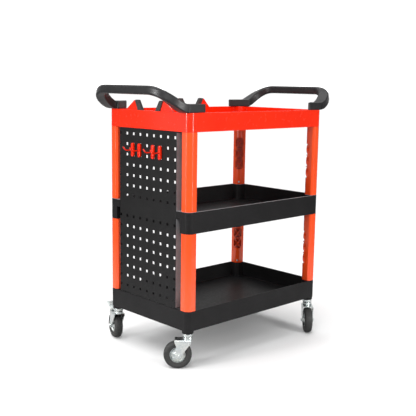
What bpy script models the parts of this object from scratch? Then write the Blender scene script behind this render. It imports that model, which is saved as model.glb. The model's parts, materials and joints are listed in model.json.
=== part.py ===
"""Tool cart: three moulded trays on eight ribbed posts, a pegboard end panel with hooks,
two push handles, two tool rests and four swivel casters.

Metres, +Z up. The origin is on the floor, below the centre of the whole cart's box, with its
casters turned as stored. +X runs along the cart, away from the pegboard end, and +Y across it.
"""

import math

import bmesh
import bpy
from mathutils import Matrix, Vector

# ---- driving dimensions ------------------------------------------------------------------
LENGTH = 0.700              # trays, along X
WIDTH = 0.447               # trays, along Y
GAP = 0.0003                # between pieces that touch
SIDE_SHIFT = -0.0135        # of the trays' centre: the casters reach further to the right

POST_SIZE = 0.044           # side of a post's rounded square section
CORNER_R = 0.017            # corner radius of posts and trays
POST_BORE_R = 0.008
PEG_R = 0.0077              # tray peg that holds a post's end
PEG_HEIGHT = 0.010
POST_X = LENGTH / 2 - POST_SIZE / 2
POST_Y = WIDTH / 2 - POST_SIZE / 2

TOP_RIM, TOP_BASE = 0.896, 0.831
MIDDLE_RIM, MIDDLE_BASE = 0.560, 0.484
BOTTOM_RIM, BOTTOM_BASE = 0.210, 0.139
WALL = 0.005
RIB_DEPTH = 0.005           # underside ribs
RIB = 0.003
FLOOR = 0.004

BOSS_R, BOSS_BASE = 0.0205, 0.128
STEM_R = 0.0055

COLUMN_DRAFT = 0.0004       # lean of a corner column's side, at the tray's end wall

LATTICE_CELL = 0.046        # height of one crossed-rib cell
LATTICE_START = 0.065       # above the post's foot
LATTICE_CELLS = 3
LATTICE_HALF_WIDTH = 0.016
LATTICE_DEPTH = 0.0028      # of the pockets between the ribs
LATTICE_RIB = 0.003

SCREW_Z = 0.0105            # post screws, above the post's foot
SCREW_HEAD_R = 0.0042
SCREW_R = 0.0018
SCREW_SEAT = 0.0016         # depth of the flat that the head sits on

PANEL_WIDTH = 0.319
PANEL_SHEET = 0.0012
PANEL_FLANGE = 0.027
PANEL_RECESS = 0.0285       # in the middle tray's end, for the panel
PANEL_LIP = 0.028           # height of the middle tray's rim beside the panel
HOLE = 0.010
PITCH = 0.038
HOLE_COLUMNS = 9
HOLE_TOP_Z = 0.810
ROWS_ABOVE, ROWS_BELOW = 7, 8   # hole rows above and below the middle tray's plain band

FOOT_LENGTH = 0.088         # of a handle's wedge-shaped foot, along the tray's side
FOOT_HEIGHT = 0.0285
FOOT_OUT_Y, FOOT_IN_Y = 0.222, 0.162
ARM_BASE = 0.048            # width of a handle's arm where it leaves its foot
ARM_OUT_Y, ARM_IN_Y = 0.113, 0.108          # where the arm's edges run into the grip
ARM_SQUARENESS, ARM_HASTE = 0.84, 0.68      # of the arm's bow in plan, and of its rise
GRIP_OUT_X, GRIP_IN_X = 0.4525, 0.4265
GRIP_Z, GRIP_HEIGHT = 0.969, 0.031

REST_THICK = 0.006
SIDE_REST_X = 0.048
RAIL_HEIGHT, RAIL_WIDTH = 0.002, 0.0135     # raised strips on the tray's floor, under the rests
TRIM_THICK = 0.012
TRIM_BAND = 0.020
REST_TOP = 0.930
NOTCH_Z = 0.868             # foot of a tool rest's notch
NOTCH_SLOPE = 0.60          # how far each side of the notch leans out for each metre up

WHEEL_R, WHEEL_WIDTH = 0.050, 0.032
RIM_R = 0.028
TRAIL = 0.035
AXLE_R = 0.004
AXLE_BORE_R = 0.0044
HUB_HALF = 0.0180           # half the hub's length
FORK_SHEET = 0.0025
FORK_INNER = 0.0190         # half the gap between the fork's legs
CROWN_BASE = 0.1045
CUP_HEIGHT = 0.0095
PEDAL_X, PEDAL_Z = 0.0405, 0.1070
PEDAL_PIN_R = 0.0022
SHOE_X, SHOE_DROP = 0.0120, 0.0052      # pedal's brake shoe, from its pin

INWARD = Vector((1, 1, 0)).normalized()     # a post's ribbed side, before it is turned

# Caster trail directions in the stored pose, as compass angles about +Z from +X.
CASTERS = {
    "front_left": {"sides": (-1, -1), "trail_deg": 136.5, "brake": False},
    "front_right": {"sides": (-1, 1), "trail_deg": 71.5, "brake": True},
    "rear_left": {"sides": (1, -1), "trail_deg": 226.5, "brake": False},
    "rear_right": {"sides": (1, 1), "trail_deg": 160.0, "brake": True},
}

COLOURS = {                 # base colour, roughness, metallic
    "red_plastic": ((0.90, 0.055, 0.015), 0.38, 0.0),
    "black_plastic": ((0.030, 0.030, 0.032), 0.48, 0.0),
    "black_steel": ((0.035, 0.035, 0.037), 0.45, 0.2),
    "handle_plastic": ((0.035, 0.034, 0.036), 0.42, 0.0),
    "rest_rubber": ((0.018, 0.017, 0.017), 0.70, 0.0),
    "zinc_steel": ((0.72, 0.75, 0.75), 0.28, 1.0),
    "tyre_rubber": ((0.028, 0.029, 0.026), 0.75, 0.0),
}


# ---- scene and helpers -------------------------------------------------------------------
for old in list(bpy.data.objects):
    bpy.data.objects.remove(old)
cart = bpy.data.collections.new("tool_cart")
bpy.context.scene.collection.children.link(cart)


def material(name):
    """Principled material from the colour table, made once."""
    found = bpy.data.materials.get(name)
    if found:
        return found
    colour, roughness, metallic = COLOURS[name]
    made = bpy.data.materials.new(name)
    made.use_nodes = True
    shader = made.node_tree.nodes["Principled BSDF"]
    shader.inputs["Base Color"].default_value = (*colour, 1.0)
    shader.inputs["Roughness"].default_value = roughness
    shader.inputs["Metallic"].default_value = metallic
    return made


def add_object(name, data):
    made = bpy.data.objects.new(name, data)
    cart.objects.link(made)
    return made


def from_bmesh(name, bm):
    bmesh.ops.recalc_face_normals(bm, faces=bm.faces)
    mesh = bpy.data.meshes.new(name)
    bm.to_mesh(mesh)
    bm.free()
    return add_object(name, mesh)


def block(name, size, centre=(0, 0, 0), corner_r=0.0, steps=3):
    """Box, with its four upright edges rounded when corner_r is given."""
    bm = bmesh.new()
    bmesh.ops.create_cube(bm, size=1.0)
    bmesh.ops.scale(bm, vec=size, verts=bm.verts)
    if corner_r:
        upright = [e for e in bm.edges
                   if abs(e.verts[0].co.z - e.verts[1].co.z) > size[2] / 2]
        bmesh.ops.bevel(bm, geom=upright, offset=corner_r, segments=steps,
                        profile=0.5, affect="EDGES")
    bmesh.ops.translate(bm, vec=centre, verts=bm.verts)
    return from_bmesh(name, bm)


def cylinder(name, radius, start, end, sides=12):
    """Solid cylinder between two points."""
    start, end = Vector(start), Vector(end)
    bm = bmesh.new()
    bmesh.ops.create_cone(bm, cap_ends=True, segments=sides, radius1=radius,
                          radius2=radius, depth=(end - start).length)
    turn = Vector((0, 0, 1)).rotation_difference(end - start).to_matrix().to_4x4()
    bmesh.ops.transform(bm, matrix=Matrix.Translation((start + end) / 2) @ turn,
                        verts=bm.verts)
    return from_bmesh(name, bm)


def arc(centre, radius, start_deg, end_deg, steps):
    """Points along an arc, both ends included."""
    angles = [math.radians(start_deg + (end_deg - start_deg) * i / steps)
              for i in range(steps + 1)]
    return [(centre[0] + radius * math.cos(a), centre[1] + radius * math.sin(a))
            for a in angles]


def bake(obj):
    """Give an object its evaluated mesh, as a mesh object with no modifiers."""
    graph = bpy.context.evaluated_depsgraph_get()
    mesh = bpy.data.meshes.new_from_object(obj.evaluated_get(graph))
    bm = bmesh.new()
    bm.from_mesh(mesh)
    bmesh.ops.remove_doubles(bm, verts=bm.verts, dist=1e-6)
    bm.to_mesh(mesh)
    bm.free()
    name, place = obj.name, obj.matrix_world.copy()
    bpy.data.objects.remove(obj)
    made = add_object(name, mesh)
    made.matrix_world = place
    return made


def flat_plate(name, outline, thickness, frame=Matrix.Identity(4)):
    """Closed outline in the frame's XY plane, extruded half the thickness each way."""
    curve = bpy.data.curves.new(name, "CURVE")
    curve.dimensions = "2D"
    curve.fill_mode = "BOTH"
    curve.extrude = thickness / 2
    spline = curve.splines.new("POLY")
    spline.points.add(len(outline) - 1)
    for point, (x, y) in zip(spline.points, outline):
        point.co = (x, y, 0, 1)
    spline.use_cyclic_u = True
    solid = bake(add_object(name, curve))
    solid.data.transform(frame)
    return solid


def turned(name, profile, sides=24):
    """Solid of revolution about Z. The profile's (radius, height) points run from the top
    of the axis down the outer side to the bottom of the axis."""
    bm = bmesh.new()
    verts = [bm.verts.new((radius, 0, z)) for radius, z in profile]
    for first, second in zip(verts, verts[1:]):
        bm.edges.new((first, second))
    mesh = bpy.data.meshes.new(name)
    bm.to_mesh(mesh)
    bm.free()
    solid = add_object(name, mesh)
    screw = solid.modifiers.new("Turn", "SCREW")
    screw.steps = screw.render_steps = sides
    screw.use_merge_vertices = True
    screw.merge_threshold = 0.00001
    return bake(solid)


def combine(target, tool, operation):
    """Boolean of two mesh objects. The tool object is used up."""
    boolean = target.modifiers.new(operation.title(), "BOOLEAN")
    boolean.operation = operation
    boolean.object = tool
    boolean.solver = "EXACT"
    bpy.context.view_layer.update()
    result = bake(target)
    bpy.data.objects.remove(tool)
    return result


def cut(target, tool):
    return combine(target, tool, "DIFFERENCE")


def join(target, tool):
    return combine(target, tool, "UNION")


def merge(name, solids):
    """Disjoint solids as one tool object."""
    bm = bmesh.new()
    for solid in solids:
        bm.from_mesh(solid.data)
        bpy.data.objects.remove(solid)
    return from_bmesh(name, bm)


def finish(obj, material_name, smooth_deg=0.0):
    """Material, and smooth shading up to the given edge angle on round pieces."""
    obj.data.materials.clear()
    obj.data.materials.append(material(material_name))
    if smooth_deg:
        obj.data.shade_smooth()
        obj.data.set_sharp_from_angle(angle=math.radians(smooth_deg))
    return obj


def place(obj, location=(0, 0, 0), turn_z=0.0, parent=None):
    obj.parent = parent
    obj.matrix_parent_inverse = Matrix.Identity(4)
    obj.location = location
    obj.rotation_euler = (0, 0, turn_z)
    return obj


def corners():
    """The four post places, with the turn that points a post's ribbed side inwards."""
    for x_side, y_side in ((-1, -1), (1, -1), (1, 1), (-1, 1)):
        turn = math.atan2(-y_side, -x_side) - math.pi / 4
        yield x_side, y_side, turn


# ---- trays -------------------------------------------------------------------------------
def cavity_outline(low_x, high_x, half_y):
    """Inside of a tray, notched round its four corner columns."""
    centre_x = LENGTH / 2 - POST_SIZE + CORNER_R
    centre_y = WIDTH / 2 - POST_SIZE + CORNER_R
    outline = []
    for x_side, y_side, _ in corners():
        wall_x = high_x if x_side > 0 else -low_x
        reach = max(0.0, centre_x - wall_x)
        notch = [(wall_x, centre_y - math.sqrt(CORNER_R ** 2 - reach ** 2) - COLUMN_DRAFT)]
        notch += [p for p in arc((centre_x, centre_y), CORNER_R, 270, 180, 4)
                  if p[0] < wall_x - 0.0005]
        notch.append((notch[-1][0], half_y))
        if x_side * y_side < 0:
            notch.reverse()
        outline += [(x_side * x, y_side * y) for x, y in notch]
    return outline


def tray(name, base, rim, low_x=-LENGTH / 2 + WALL):
    """Open tray: rounded box, notched cavity and ribbed underside."""
    body = block(name, (LENGTH, WIDTH, rim - base), (0, 0, (rim + base) / 2), CORNER_R, 4)
    cavity_base = base + RIB_DEPTH + FLOOR
    outline = cavity_outline(low_x, LENGTH / 2 - WALL, WIDTH / 2 - WALL)
    depth = 2 * (rim - cavity_base)
    body = cut(body, flat_plate("cavity", outline, depth, Matrix.Translation((0, 0, rim))))
    across, along = 3, 4
    span_x, span_y = 0.580 / along, 0.350 / across
    pockets = [block("pocket", (span_x - RIB, span_y - RIB, 2 * RIB_DEPTH),
                     ((i - (along - 1) / 2) * span_x, (j - (across - 1) / 2) * span_y, base))
               for i in range(along) for j in range(across)]
    return cut(body, merge("pockets", pockets))


def pegs(tray_body, face_z, direction):
    """Round pegs on a tray's corner columns, into the posts' bores."""
    solids = [cylinder("peg", PEG_R, (x * POST_X, y * POST_Y, face_z - direction * 0.004),
                       (x * POST_X, y * POST_Y, face_z + direction * PEG_HEIGHT))
              for x, y, _ in corners()]
    return join(tray_body, merge("pegs", solids))


def top_tray():
    """Two raised strips along its walls carry the tool rests."""
    body = pegs(tray("top_tray", TOP_BASE, TOP_RIM), TOP_BASE, -1)
    rail_z = TOP_BASE + RIB_DEPTH + FLOOR + RAIL_HEIGHT / 2 - 0.0005
    sunk_width, sunk_height = RAIL_WIDTH + 0.001, RAIL_HEIGHT + 0.001
    end_x = -LENGTH / 2 + WALL + RAIL_WIDTH / 2 - 0.0005
    side_y = WIDTH / 2 - WALL - RAIL_WIDTH / 2 + 0.0005
    rails = [block("rail", (sunk_width, 0.266, sunk_height), (end_x, 0, rail_z)),
             block("rail", (0.210, sunk_width, sunk_height), (SIDE_REST_X, side_y, rail_z))]
    finish(join(body, merge("rails", rails)), "red_plastic", 40)


def middle_tray():
    """Its pegboard end stands back for the panel, below a lip beside each post."""
    end = -LENGTH / 2
    body = tray("middle_tray", MIDDLE_BASE, MIDDLE_RIM, end + PANEL_RECESS + WALL)
    between_posts = WIDTH - 2 * POST_SIZE
    lip_base = MIDDLE_RIM - PANEL_LIP
    low_recess = block("low_recess", (2 * PANEL_RECESS, between_posts, 2 * (lip_base - MIDDLE_BASE)),
                       (end, 0, MIDDLE_BASE))
    body = cut(body, low_recess)
    slot = block("slot", (2 * PANEL_RECESS, PANEL_WIDTH + 0.001, 0.200),
                 (end, 0, MIDDLE_RIM))
    body = cut(body, slot)
    body = pegs(pegs(body, MIDDLE_RIM, 1), MIDDLE_BASE, -1)
    finish(body, "black_plastic", 40)


def bottom_tray():
    """Round bosses under its corners take the caster stems."""
    body = pegs(tray("bottom_tray", BOTTOM_BASE, BOTTOM_RIM), BOTTOM_RIM, 1)
    bosses = [cylinder("boss", BOSS_R, (x * POST_X, y * POST_Y, BOSS_BASE),
                       (x * POST_X, y * POST_Y, BOTTOM_BASE + 0.006), 16)
              for x, y, _ in corners()]
    body = join(body, merge("bosses", bosses))
    holes = [cylinder("hole", STEM_R + GAP, (x * POST_X, y * POST_Y, BOSS_BASE - 0.002),
                      (x * POST_X, y * POST_Y, BOSS_BASE + 0.045))
             for x, y, _ in corners()]
    body = cut(body, merge("stem_holes", holes))
    finish(body, "black_plastic", 40)


# ---- posts -------------------------------------------------------------------------------
def lattice_pockets(foot_z):
    """Four triangular pockets to a cell, between crossed ribs on the post's inner side.
    Outlines are in (across, up) and run along the post's inner diagonal."""
    half_w, half_h = LATTICE_HALF_WIDTH, (LATTICE_CELL - LATTICE_RIB) / 2
    slant = math.hypot(half_w, half_h)
    rise = LATTICE_RIB / 2 * slant / half_w
    run = LATTICE_RIB / 2 * slant / half_h
    top = [(0, rise), ((half_h - rise) * half_w / half_h, half_h),
           (-(half_h - rise) * half_w / half_h, half_h)]
    side = [(run, 0), (half_w, -(half_w - run) * half_h / half_w),
            (half_w, (half_w - run) * half_h / half_w)]
    depth = POST_SIZE / 2
    across = Vector((-1, 1, 0)).normalized()
    pockets = []
    for cell in range(LATTICE_CELLS):
        middle_z = foot_z + LATTICE_START + (cell + 0.5) * LATTICE_CELL
        origin = INWARD * (POST_BORE_R + depth / 2) + Vector((0, 0, middle_z))
        frame = Matrix.Translation(origin) @ Matrix((
            (across.x, 0, INWARD.x, 0), (across.y, 0, INWARD.y, 0), (0, 1, 0, 0), (0, 0, 0, 1)))
        for outline in (top, side):
            for sign in (1, -1):
                flipped = [(sign * x, sign * y) for x, y in outline]
                pockets.append(flat_plate("cell", flipped, depth, frame))
    core_size = POST_SIZE - 2 * LATTICE_DEPTH
    core = block("core", (core_size, core_size, 1.0), corner_r=CORNER_R - LATTICE_DEPTH)
    return cut(merge("lattice", pockets), core)


def posts():
    """One post shape, ribbed on its inner diagonal, at eight places."""
    length = MIDDLE_BASE - BOTTOM_RIM - 2 * GAP
    shape = block("post", (POST_SIZE, POST_SIZE, length), (0, 0, length / 2), CORNER_R)
    shape = cut(shape, cylinder("bore", POST_BORE_R, (0, 0, -0.01), (0, 0, length + 0.01)))
    shape = cut(shape, lattice_pockets(0.0))
    face = (POST_SIZE / 2 - CORNER_R) * math.sqrt(2) + CORNER_R
    seat = face - SCREW_SEAT
    up = Vector((0, 0, SCREW_Z))
    outside = INWARD * (face + 0.010) + up
    shape = cut(shape, cylinder("seat", SCREW_HEAD_R + 0.0006, INWARD * seat + up, outside, 8))
    shape = cut(shape, cylinder("pilot", SCREW_R + 0.0004, INWARD * (face - 0.011) + up, outside, 8))
    mesh = finish(shape, "red_plastic", 40).data
    bpy.data.objects.remove(shape)
    screw = turned("post_screw", [(0, 0.0024), (0.0030, 0.0022), (SCREW_HEAD_R, 0.0008),
                                  (SCREW_HEAD_R, 0), (SCREW_R, 0), (SCREW_R, -0.0080),
                                  (0, -0.0080)], 8)
    lay = Vector((0, 0, 1)).rotation_difference(INWARD).to_matrix().to_4x4()
    screw.data.transform(Matrix.Translation(INWARD * (seat + GAP) + up) @ lay)
    screw_mesh = finish(screw, "zinc_steel", 40).data
    bpy.data.objects.remove(screw)
    for level, foot_z in (("lower", BOTTOM_RIM), ("upper", MIDDLE_RIM)):
        for x_side, y_side, turn in corners():
            corner = corner_name(x_side, y_side)
            spot = (x_side * POST_X, y_side * POST_Y, foot_z + GAP)
            place(add_object(f"post_{level}_{corner}", level_mesh(mesh, level)), spot, turn)
            place(add_object(f"post_screw_{level}_{corner}", screw_mesh), spot, turn)


def level_mesh(mesh, level):
    """The upper posts are a few millimetres shorter: their plain top end is moved down."""
    if level == "lower":
        return mesh
    short = bpy.data.meshes.get("post_short")
    if short is None:
        short = mesh.copy()
        short.name = "post_short"
        full = MIDDLE_BASE - BOTTOM_RIM - 2 * GAP
        for vert in short.vertices:
            if vert.co.z > full - 0.001:
                vert.co.z = TOP_BASE - MIDDLE_RIM - 2 * GAP
    return short


def corner_name(x_side, y_side):
    return ("rear" if x_side > 0 else "front") + ("_right" if y_side > 0 else "_left")


# ---- pegboard panel ----------------------------------------------------------------------
def pegboard_panel():
    """Shallow sheet pan, open towards the cart, with a grid of square holes."""
    face_x = -LENGTH / 2
    base, top = BOTTOM_RIM + GAP, TOP_BASE - GAP
    bm = bmesh.new()
    bmesh.ops.create_cube(bm, size=1.0)
    bmesh.ops.scale(bm, vec=(PANEL_FLANGE, PANEL_WIDTH, top - base), verts=bm.verts)
    bmesh.ops.translate(bm, vec=(face_x + PANEL_FLANGE / 2, 0, (base + top) / 2), verts=bm.verts)
    back = [f for f in bm.faces if f.calc_center_median().x > face_x + PANEL_FLANGE * 0.9]
    bmesh.ops.delete(bm, geom=back, context="FACES_ONLY")
    panel = from_bmesh("pegboard_panel", bm)
    shell = panel.modifiers.new("Sheet", "SOLIDIFY")
    shell.thickness = PANEL_SHEET
    shell.offset = -1
    shell.use_even_offset = True
    panel = bake(panel)
    lowest_row = ROWS_ABOVE + ROWS_BELOW
    rows = [row for row in range(lowest_row + 1) if row != ROWS_ABOVE]
    half_columns = (HOLE_COLUMNS - 1) / 2
    holes = [block("hole", (4 * PANEL_SHEET, HOLE, HOLE),
                   (face_x, (column - half_columns) * PITCH, HOLE_TOP_Z - row * PITCH))
             for row in rows for column in range(HOLE_COLUMNS)]
    panel = cut(panel, merge("holes", holes))
    notches = [block("notch", (0.012, 0.052, 0.006), (face_x, (i - 1.5) * 0.078, base))
               for i in range(4)]
    panel = cut(panel, merge("notches", notches))
    finish(panel, "black_steel")


def hook(name, y):
    """Peg hook: a flat body with two pegs through the panel and an arm with a raised tip."""
    face_x = -LENGTH / 2 - GAP
    top_peg_z = HOLE_TOP_Z - PITCH
    middle_z = top_peg_z - PITCH / 2
    thick, width, height = 0.008, 0.0135, 0.049
    body = block(name, (height, width, thick), (0, 0, 0), 0.0045, 3)
    body.data.transform(Matrix.Translation((face_x - thick / 2, y, middle_z))
                        @ Matrix.Rotation(math.pi / 2, 4, "Y"))
    for peg_z in (top_peg_z, top_peg_z - PITCH):
        body = join(body, cylinder("peg", 0.0038, (face_x - 0.003, y, peg_z),
                                   (face_x + 0.007, y, peg_z), 10))
    route = [(-0.004, 0.0), (-0.030, -0.0010), (-0.037, 0.0008), (-0.0425, 0.0060), (-0.0465, 0.0115)]
    curve = bpy.data.curves.new("arm", "CURVE")
    curve.dimensions = "3D"
    curve.bevel_depth = 0.0024
    curve.bevel_resolution = 1
    curve.use_fill_caps = True
    spline = curve.splines.new("POLY")
    spline.points.add(len(route) - 1)
    for point, (dx, dz) in zip(spline.points, route):
        point.co = (face_x + dx, y, middle_z + dz, 1)
    body = join(body, bake(add_object("arm", curve)))
    dimple = cylinder("dimple", 0.0022, (face_x - thick - 0.002, y, middle_z - 0.0155),
                      (face_x - thick + 0.004, y, middle_z - 0.0155), 10)
    finish(cut(body, dimple), "red_plastic", 40)


# ---- handles and tool rests --------------------------------------------------------------
def arm_station(turn):
    """Outer edge, inner edge and lift of a handle's arm, from its foot (0) to its grip (1)."""
    along = math.sin(math.pi / 2 * turn) ** ARM_SQUARENESS
    inward = max(0.0, math.cos(math.pi / 2 * turn)) ** ARM_SQUARENESS
    foot_x = LENGTH / 2 + 0.0023
    outer = Vector((foot_x + (GRIP_OUT_X - foot_x) * along,
                    ARM_OUT_Y + (FOOT_OUT_Y - ARM_OUT_Y) * inward))
    inner = Vector((foot_x + (GRIP_IN_X - foot_x) * along,
                    ARM_IN_Y + (FOOT_OUT_Y - ARM_BASE - ARM_IN_Y) * inward))
    rise = turn ** ARM_HASTE
    return outer, inner, rise * rise * (3 - 2 * rise)


def section(half_width, half_height, corner_r):
    """Rectangle with rounded corners, about the origin."""
    points = []
    for x, y, start in ((1, -1, -90), (1, 1, 0), (-1, 1, 90), (-1, -1, 180)):
        centre = (x * (half_width - corner_r), y * (half_height - corner_r))
        points += arc(centre, corner_r, start, start + 90, 2)
    return points


def handle(name, end):
    """Push handle: arms that flare from their feet, sweep out and up, and meet in a grip."""
    foot_z = TOP_RIM + FOOT_HEIGHT / 2 + GAP
    steps = 9
    stations = []
    for i in range(steps + 1):
        outer, inner, lift = arm_station(i / steps)
        stations.append((outer, inner, foot_z + (GRIP_Z - foot_z) * lift, lift))
    for outer, inner, z, lift in reversed(stations[:steps + 1]):
        stations.append((Vector((outer.x, -outer.y)), Vector((inner.x, -inner.y)), z, lift))
    centres = [Vector((*((outer + inner) / 2), z)) for outer, inner, z, _ in stations]
    last = len(centres) - 1
    bm = bmesh.new()
    rings = []
    for i, (outer, inner, z, lift) in enumerate(stations):
        ahead = (centres[min(i + 1, last)] - centres[max(i - 1, 0)]).normalized()
        across = (outer - inner).to_3d().normalized()
        up = Vector((0, 0, 1)) if i in (0, last) else across.cross(ahead).normalized()
        up *= math.copysign(1, up.z)
        height = FOOT_HEIGHT + (GRIP_HEIGHT - FOOT_HEIGHT) * lift
        outline = section((outer - inner).length / 2, height / 2, 0.0045 + 0.0045 * lift)
        rings.append([bm.verts.new(centres[i] + across * x + up * y) for x, y in outline])
    for first, second in zip(rings, rings[1:]):
        for k in range(len(first)):
            bm.faces.new((first[k - 1], first[k], second[k], second[k - 1]))
    bm.faces.new(rings[0])
    bm.faces.new(rings[-1])
    bmesh.ops.triangulate(bm, faces=[face for face in bm.faces if len(face.verts) == 4])
    bar = from_bmesh(name, bm)
    finish(bar, "handle_plastic", 40)
    place(bar, turn_z=0.0 if end > 0 else math.pi)


def handle_foot(name, x_side, y_side):
    """Wedge under each end of a handle, filling the tray's corner, with blunted tips."""
    end_x = LENGTH / 2 + 0.002
    tip_x = end_x - FOOT_LENGTH
    slope = (FOOT_OUT_Y - FOOT_IN_Y) / FOOT_LENGTH
    outline = [(end_x, FOOT_IN_Y + 0.005), (end_x, FOOT_OUT_Y - 0.004), (end_x - 0.004, FOOT_OUT_Y),
               (tip_x + 0.010, FOOT_OUT_Y), (tip_x + 0.010, FOOT_OUT_Y - 0.010 * slope),
               (end_x - 0.005 / slope, FOOT_IN_Y + 0.005)]
    outline = [(x_side * x, y_side * y) for x, y in outline]
    middle = Matrix.Translation((0, 0, TOP_RIM + GAP + FOOT_HEIGHT / 2))
    finish(flat_plate(name, outline, FOOT_HEIGHT, middle), "handle_plastic")


def rest_outline(base_half, top_half, notch_top, notch_low, notch_z, base_z):
    """Trapezium with a V notch, in (across, up), from the left foot round to the right."""
    return [(-base_half, base_z), (base_half, base_z), (base_half, TOP_RIM),
            (top_half, REST_TOP - 0.004), (top_half - 0.004, REST_TOP),
            (notch_top, REST_TOP), (notch_low, notch_z), (-notch_low, notch_z),
            (-notch_top, REST_TOP), (0.004 - top_half, REST_TOP), (-top_half, REST_TOP - 0.004),
            (-base_half, TOP_RIM)]


def tool_rest(name, frame, base_half, top_half, notch_half):
    """Upright plate with a V notch, lined by a thicker rubber trim."""
    base_z = TOP_BASE + RIB_DEPTH + FLOOR + RAIL_HEIGHT + GAP
    low_half = notch_half - NOTCH_SLOPE * (REST_TOP - NOTCH_Z)
    plate = flat_plate(name, rest_outline(base_half, top_half, notch_half + TRIM_BAND,
                                          low_half + TRIM_BAND, NOTCH_Z - TRIM_BAND, base_z),
                       REST_THICK, frame)
    finish(plate, "red_plastic")
    out, top = GAP, REST_TOP + 0.002
    lift = NOTCH_SLOPE * (top - REST_TOP)
    band = [(notch_half + TRIM_BAND - out + lift, top), (notch_half + lift, top),
            (low_half, NOTCH_Z), (-low_half, NOTCH_Z), (-notch_half - lift, top),
            (out - notch_half - TRIM_BAND - lift, top),
            (out - low_half - TRIM_BAND, NOTCH_Z - TRIM_BAND + out),
            (low_half + TRIM_BAND - out, NOTCH_Z - TRIM_BAND + out)]
    finish(flat_plate(name + "_trim", band, TRIM_THICK, frame), "rest_rubber")


def tool_rests():
    upright = Matrix.Rotation(math.pi / 2, 4, "X")
    end_x = -LENGTH / 2 + WALL + TRIM_THICK / 2 + 0.0005
    end_frame = (Matrix.Translation((end_x, 0, 0)) @ Matrix.Rotation(math.pi / 2, 4, "Z") @ upright)
    tool_rest("end_rest", end_frame, 0.131, 0.0835, 0.057)
    back_y = WIDTH / 2 - WALL - TRIM_THICK / 2 - 0.0005
    side_frame = Matrix.Translation((SIDE_REST_X, back_y, 0)) @ upright
    tool_rest("side_rest", side_frame, 0.103, 0.0715, 0.045)


# ---- casters -----------------------------------------------------------------------------
def leg_outline(brake):
    """Side of the fork, in (trail, up): wide at the crown, round at the axle."""
    hub = arc((TRAIL, WHEEL_R), 0.0105, 20, -160, 8)
    top = CROWN_BASE + FORK_SHEET
    rear_top = 0.112 if brake else top
    return [(-0.013, top), (-0.013, CROWN_BASE - 0.004)] + list(reversed(hub)) + [
        (0.0400, 0.085), (0.0455, 0.100), (0.0455, rear_top), (0.0350, rear_top), (0.0290, top)]


def fork(brake):
    """Pressed fork: crown plate, two legs and the lower bearing cup."""
    upright = Matrix.Rotation(math.pi / 2, 4, "X")
    width = 2 * (FORK_INNER + FORK_SHEET)
    body = block("fork", (0.0410, width, FORK_SHEET), (0.0075, 0, CROWN_BASE + FORK_SHEET / 2))
    for side in (-1, 1):
        y = side * (FORK_INNER + FORK_SHEET / 2)
        leg = flat_plate("leg", leg_outline(brake), FORK_SHEET, Matrix.Translation((0, y, 0)) @ upright)
        body = join(body, leg)
    cup_z = CROWN_BASE + FORK_SHEET
    body = join(body, cylinder("cup", 0.0175, (0, 0, cup_z - 0.001), (0, 0, cup_z + CUP_HEIGHT), 12))
    body = cut(body, cylinder("king_bore", 0.0048, (0, 0, 0.09), (0, 0, 0.13), 8))
    body = cut(body, cylinder("axle_bore", AXLE_R + GAP, (TRAIL, -0.03, WHEEL_R),
                              (TRAIL, 0.03, WHEEL_R), 8))
    if brake:
        body = cut(body, cylinder("pin_bore", PEDAL_PIN_R + 0.0004, (PEDAL_X, -0.03, PEDAL_Z),
                                  (PEDAL_X, 0.03, PEDAL_Z), 12))
    return finish(body, "zinc_steel", 35)


def stem():
    """Fixed half of a caster: stem, upper race and the riveted king pin, turned in one."""
    race = CROWN_BASE + FORK_SHEET + CUP_HEIGHT + GAP
    return finish(turned("stem", [
        (0, 0.165), (STEM_R - 0.001, 0.165), (STEM_R, 0.164), (STEM_R, BOSS_BASE - GAP),
        (0.0175, BOSS_BASE - GAP), (0.0185, BOSS_BASE - 0.0015), (0.0185, race + 0.002),
        (0.0170, race), (0.0042, race), (0.0042, CROWN_BASE - GAP), (0.0075, CROWN_BASE - GAP),
        (0.0065, CROWN_BASE - 0.0035), (0, CROWN_BASE - 0.0035)], 12), "zinc_steel", 35)


def axle():
    """Bolt through the fork and the wheel, hexagon head on one side and nut on the other."""
    outer = FORK_INNER + FORK_SHEET + GAP
    bolt = cylinder("axle", AXLE_R, (0, -outer - 0.0055, 0), (0, outer + 0.0055, 0), 8)
    for side in (-1, 1):
        bolt = join(bolt, cylinder("hex", 0.0068, (0, side * outer, 0), (0, side * (outer + 0.004), 0), 6))
    return finish(bolt, "zinc_steel", 25)


def rim():
    """Pressed wheel centre: hub tube, dished web and the band under the tyre."""
    hub, half = 0.0095, 0.0120
    face = RIM_R - GAP
    ring = [(face, half), (face, -half), (RIM_R - 0.0025, -half), (RIM_R - 0.0045, -0.0045),
            (hub + 0.003, -0.0065), (hub, -HUB_HALF), (AXLE_BORE_R, -HUB_HALF),
            (AXLE_BORE_R, HUB_HALF), (hub, HUB_HALF), (hub + 0.003, 0.0065),
            (RIM_R - 0.0045, 0.0045), (RIM_R - 0.0025, half)]
    return wheel_ring("rim", ring, "zinc_steel", 30)


def tyre():
    half = WHEEL_WIDTH / 2
    ring = [(WHEEL_R - 0.012, half), (WHEEL_R - 0.004, half - 0.003), (WHEEL_R, half - 0.009),
            (WHEEL_R, 0.009 - half), (WHEEL_R - 0.004, 0.003 - half), (WHEEL_R - 0.012, -half),
            (RIM_R + 0.002, 0.0015 - half), (RIM_R, 0.0035 - half), (RIM_R, half - 0.0035),
            (RIM_R + 0.002, half - 0.0015)]
    return wheel_ring("tyre", ring, "tyre_rubber", 50)


def wheel_ring(name, ring, material_name, smooth_deg, sides=20):
    """Closed ring profile turned about Z, then laid so that the axle runs along Y."""
    solid = turned(name, ring + ring[:1], sides)
    solid.data.transform(Matrix.Rotation(math.pi / 2, 4, "X"))
    return finish(solid, material_name, smooth_deg)


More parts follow.
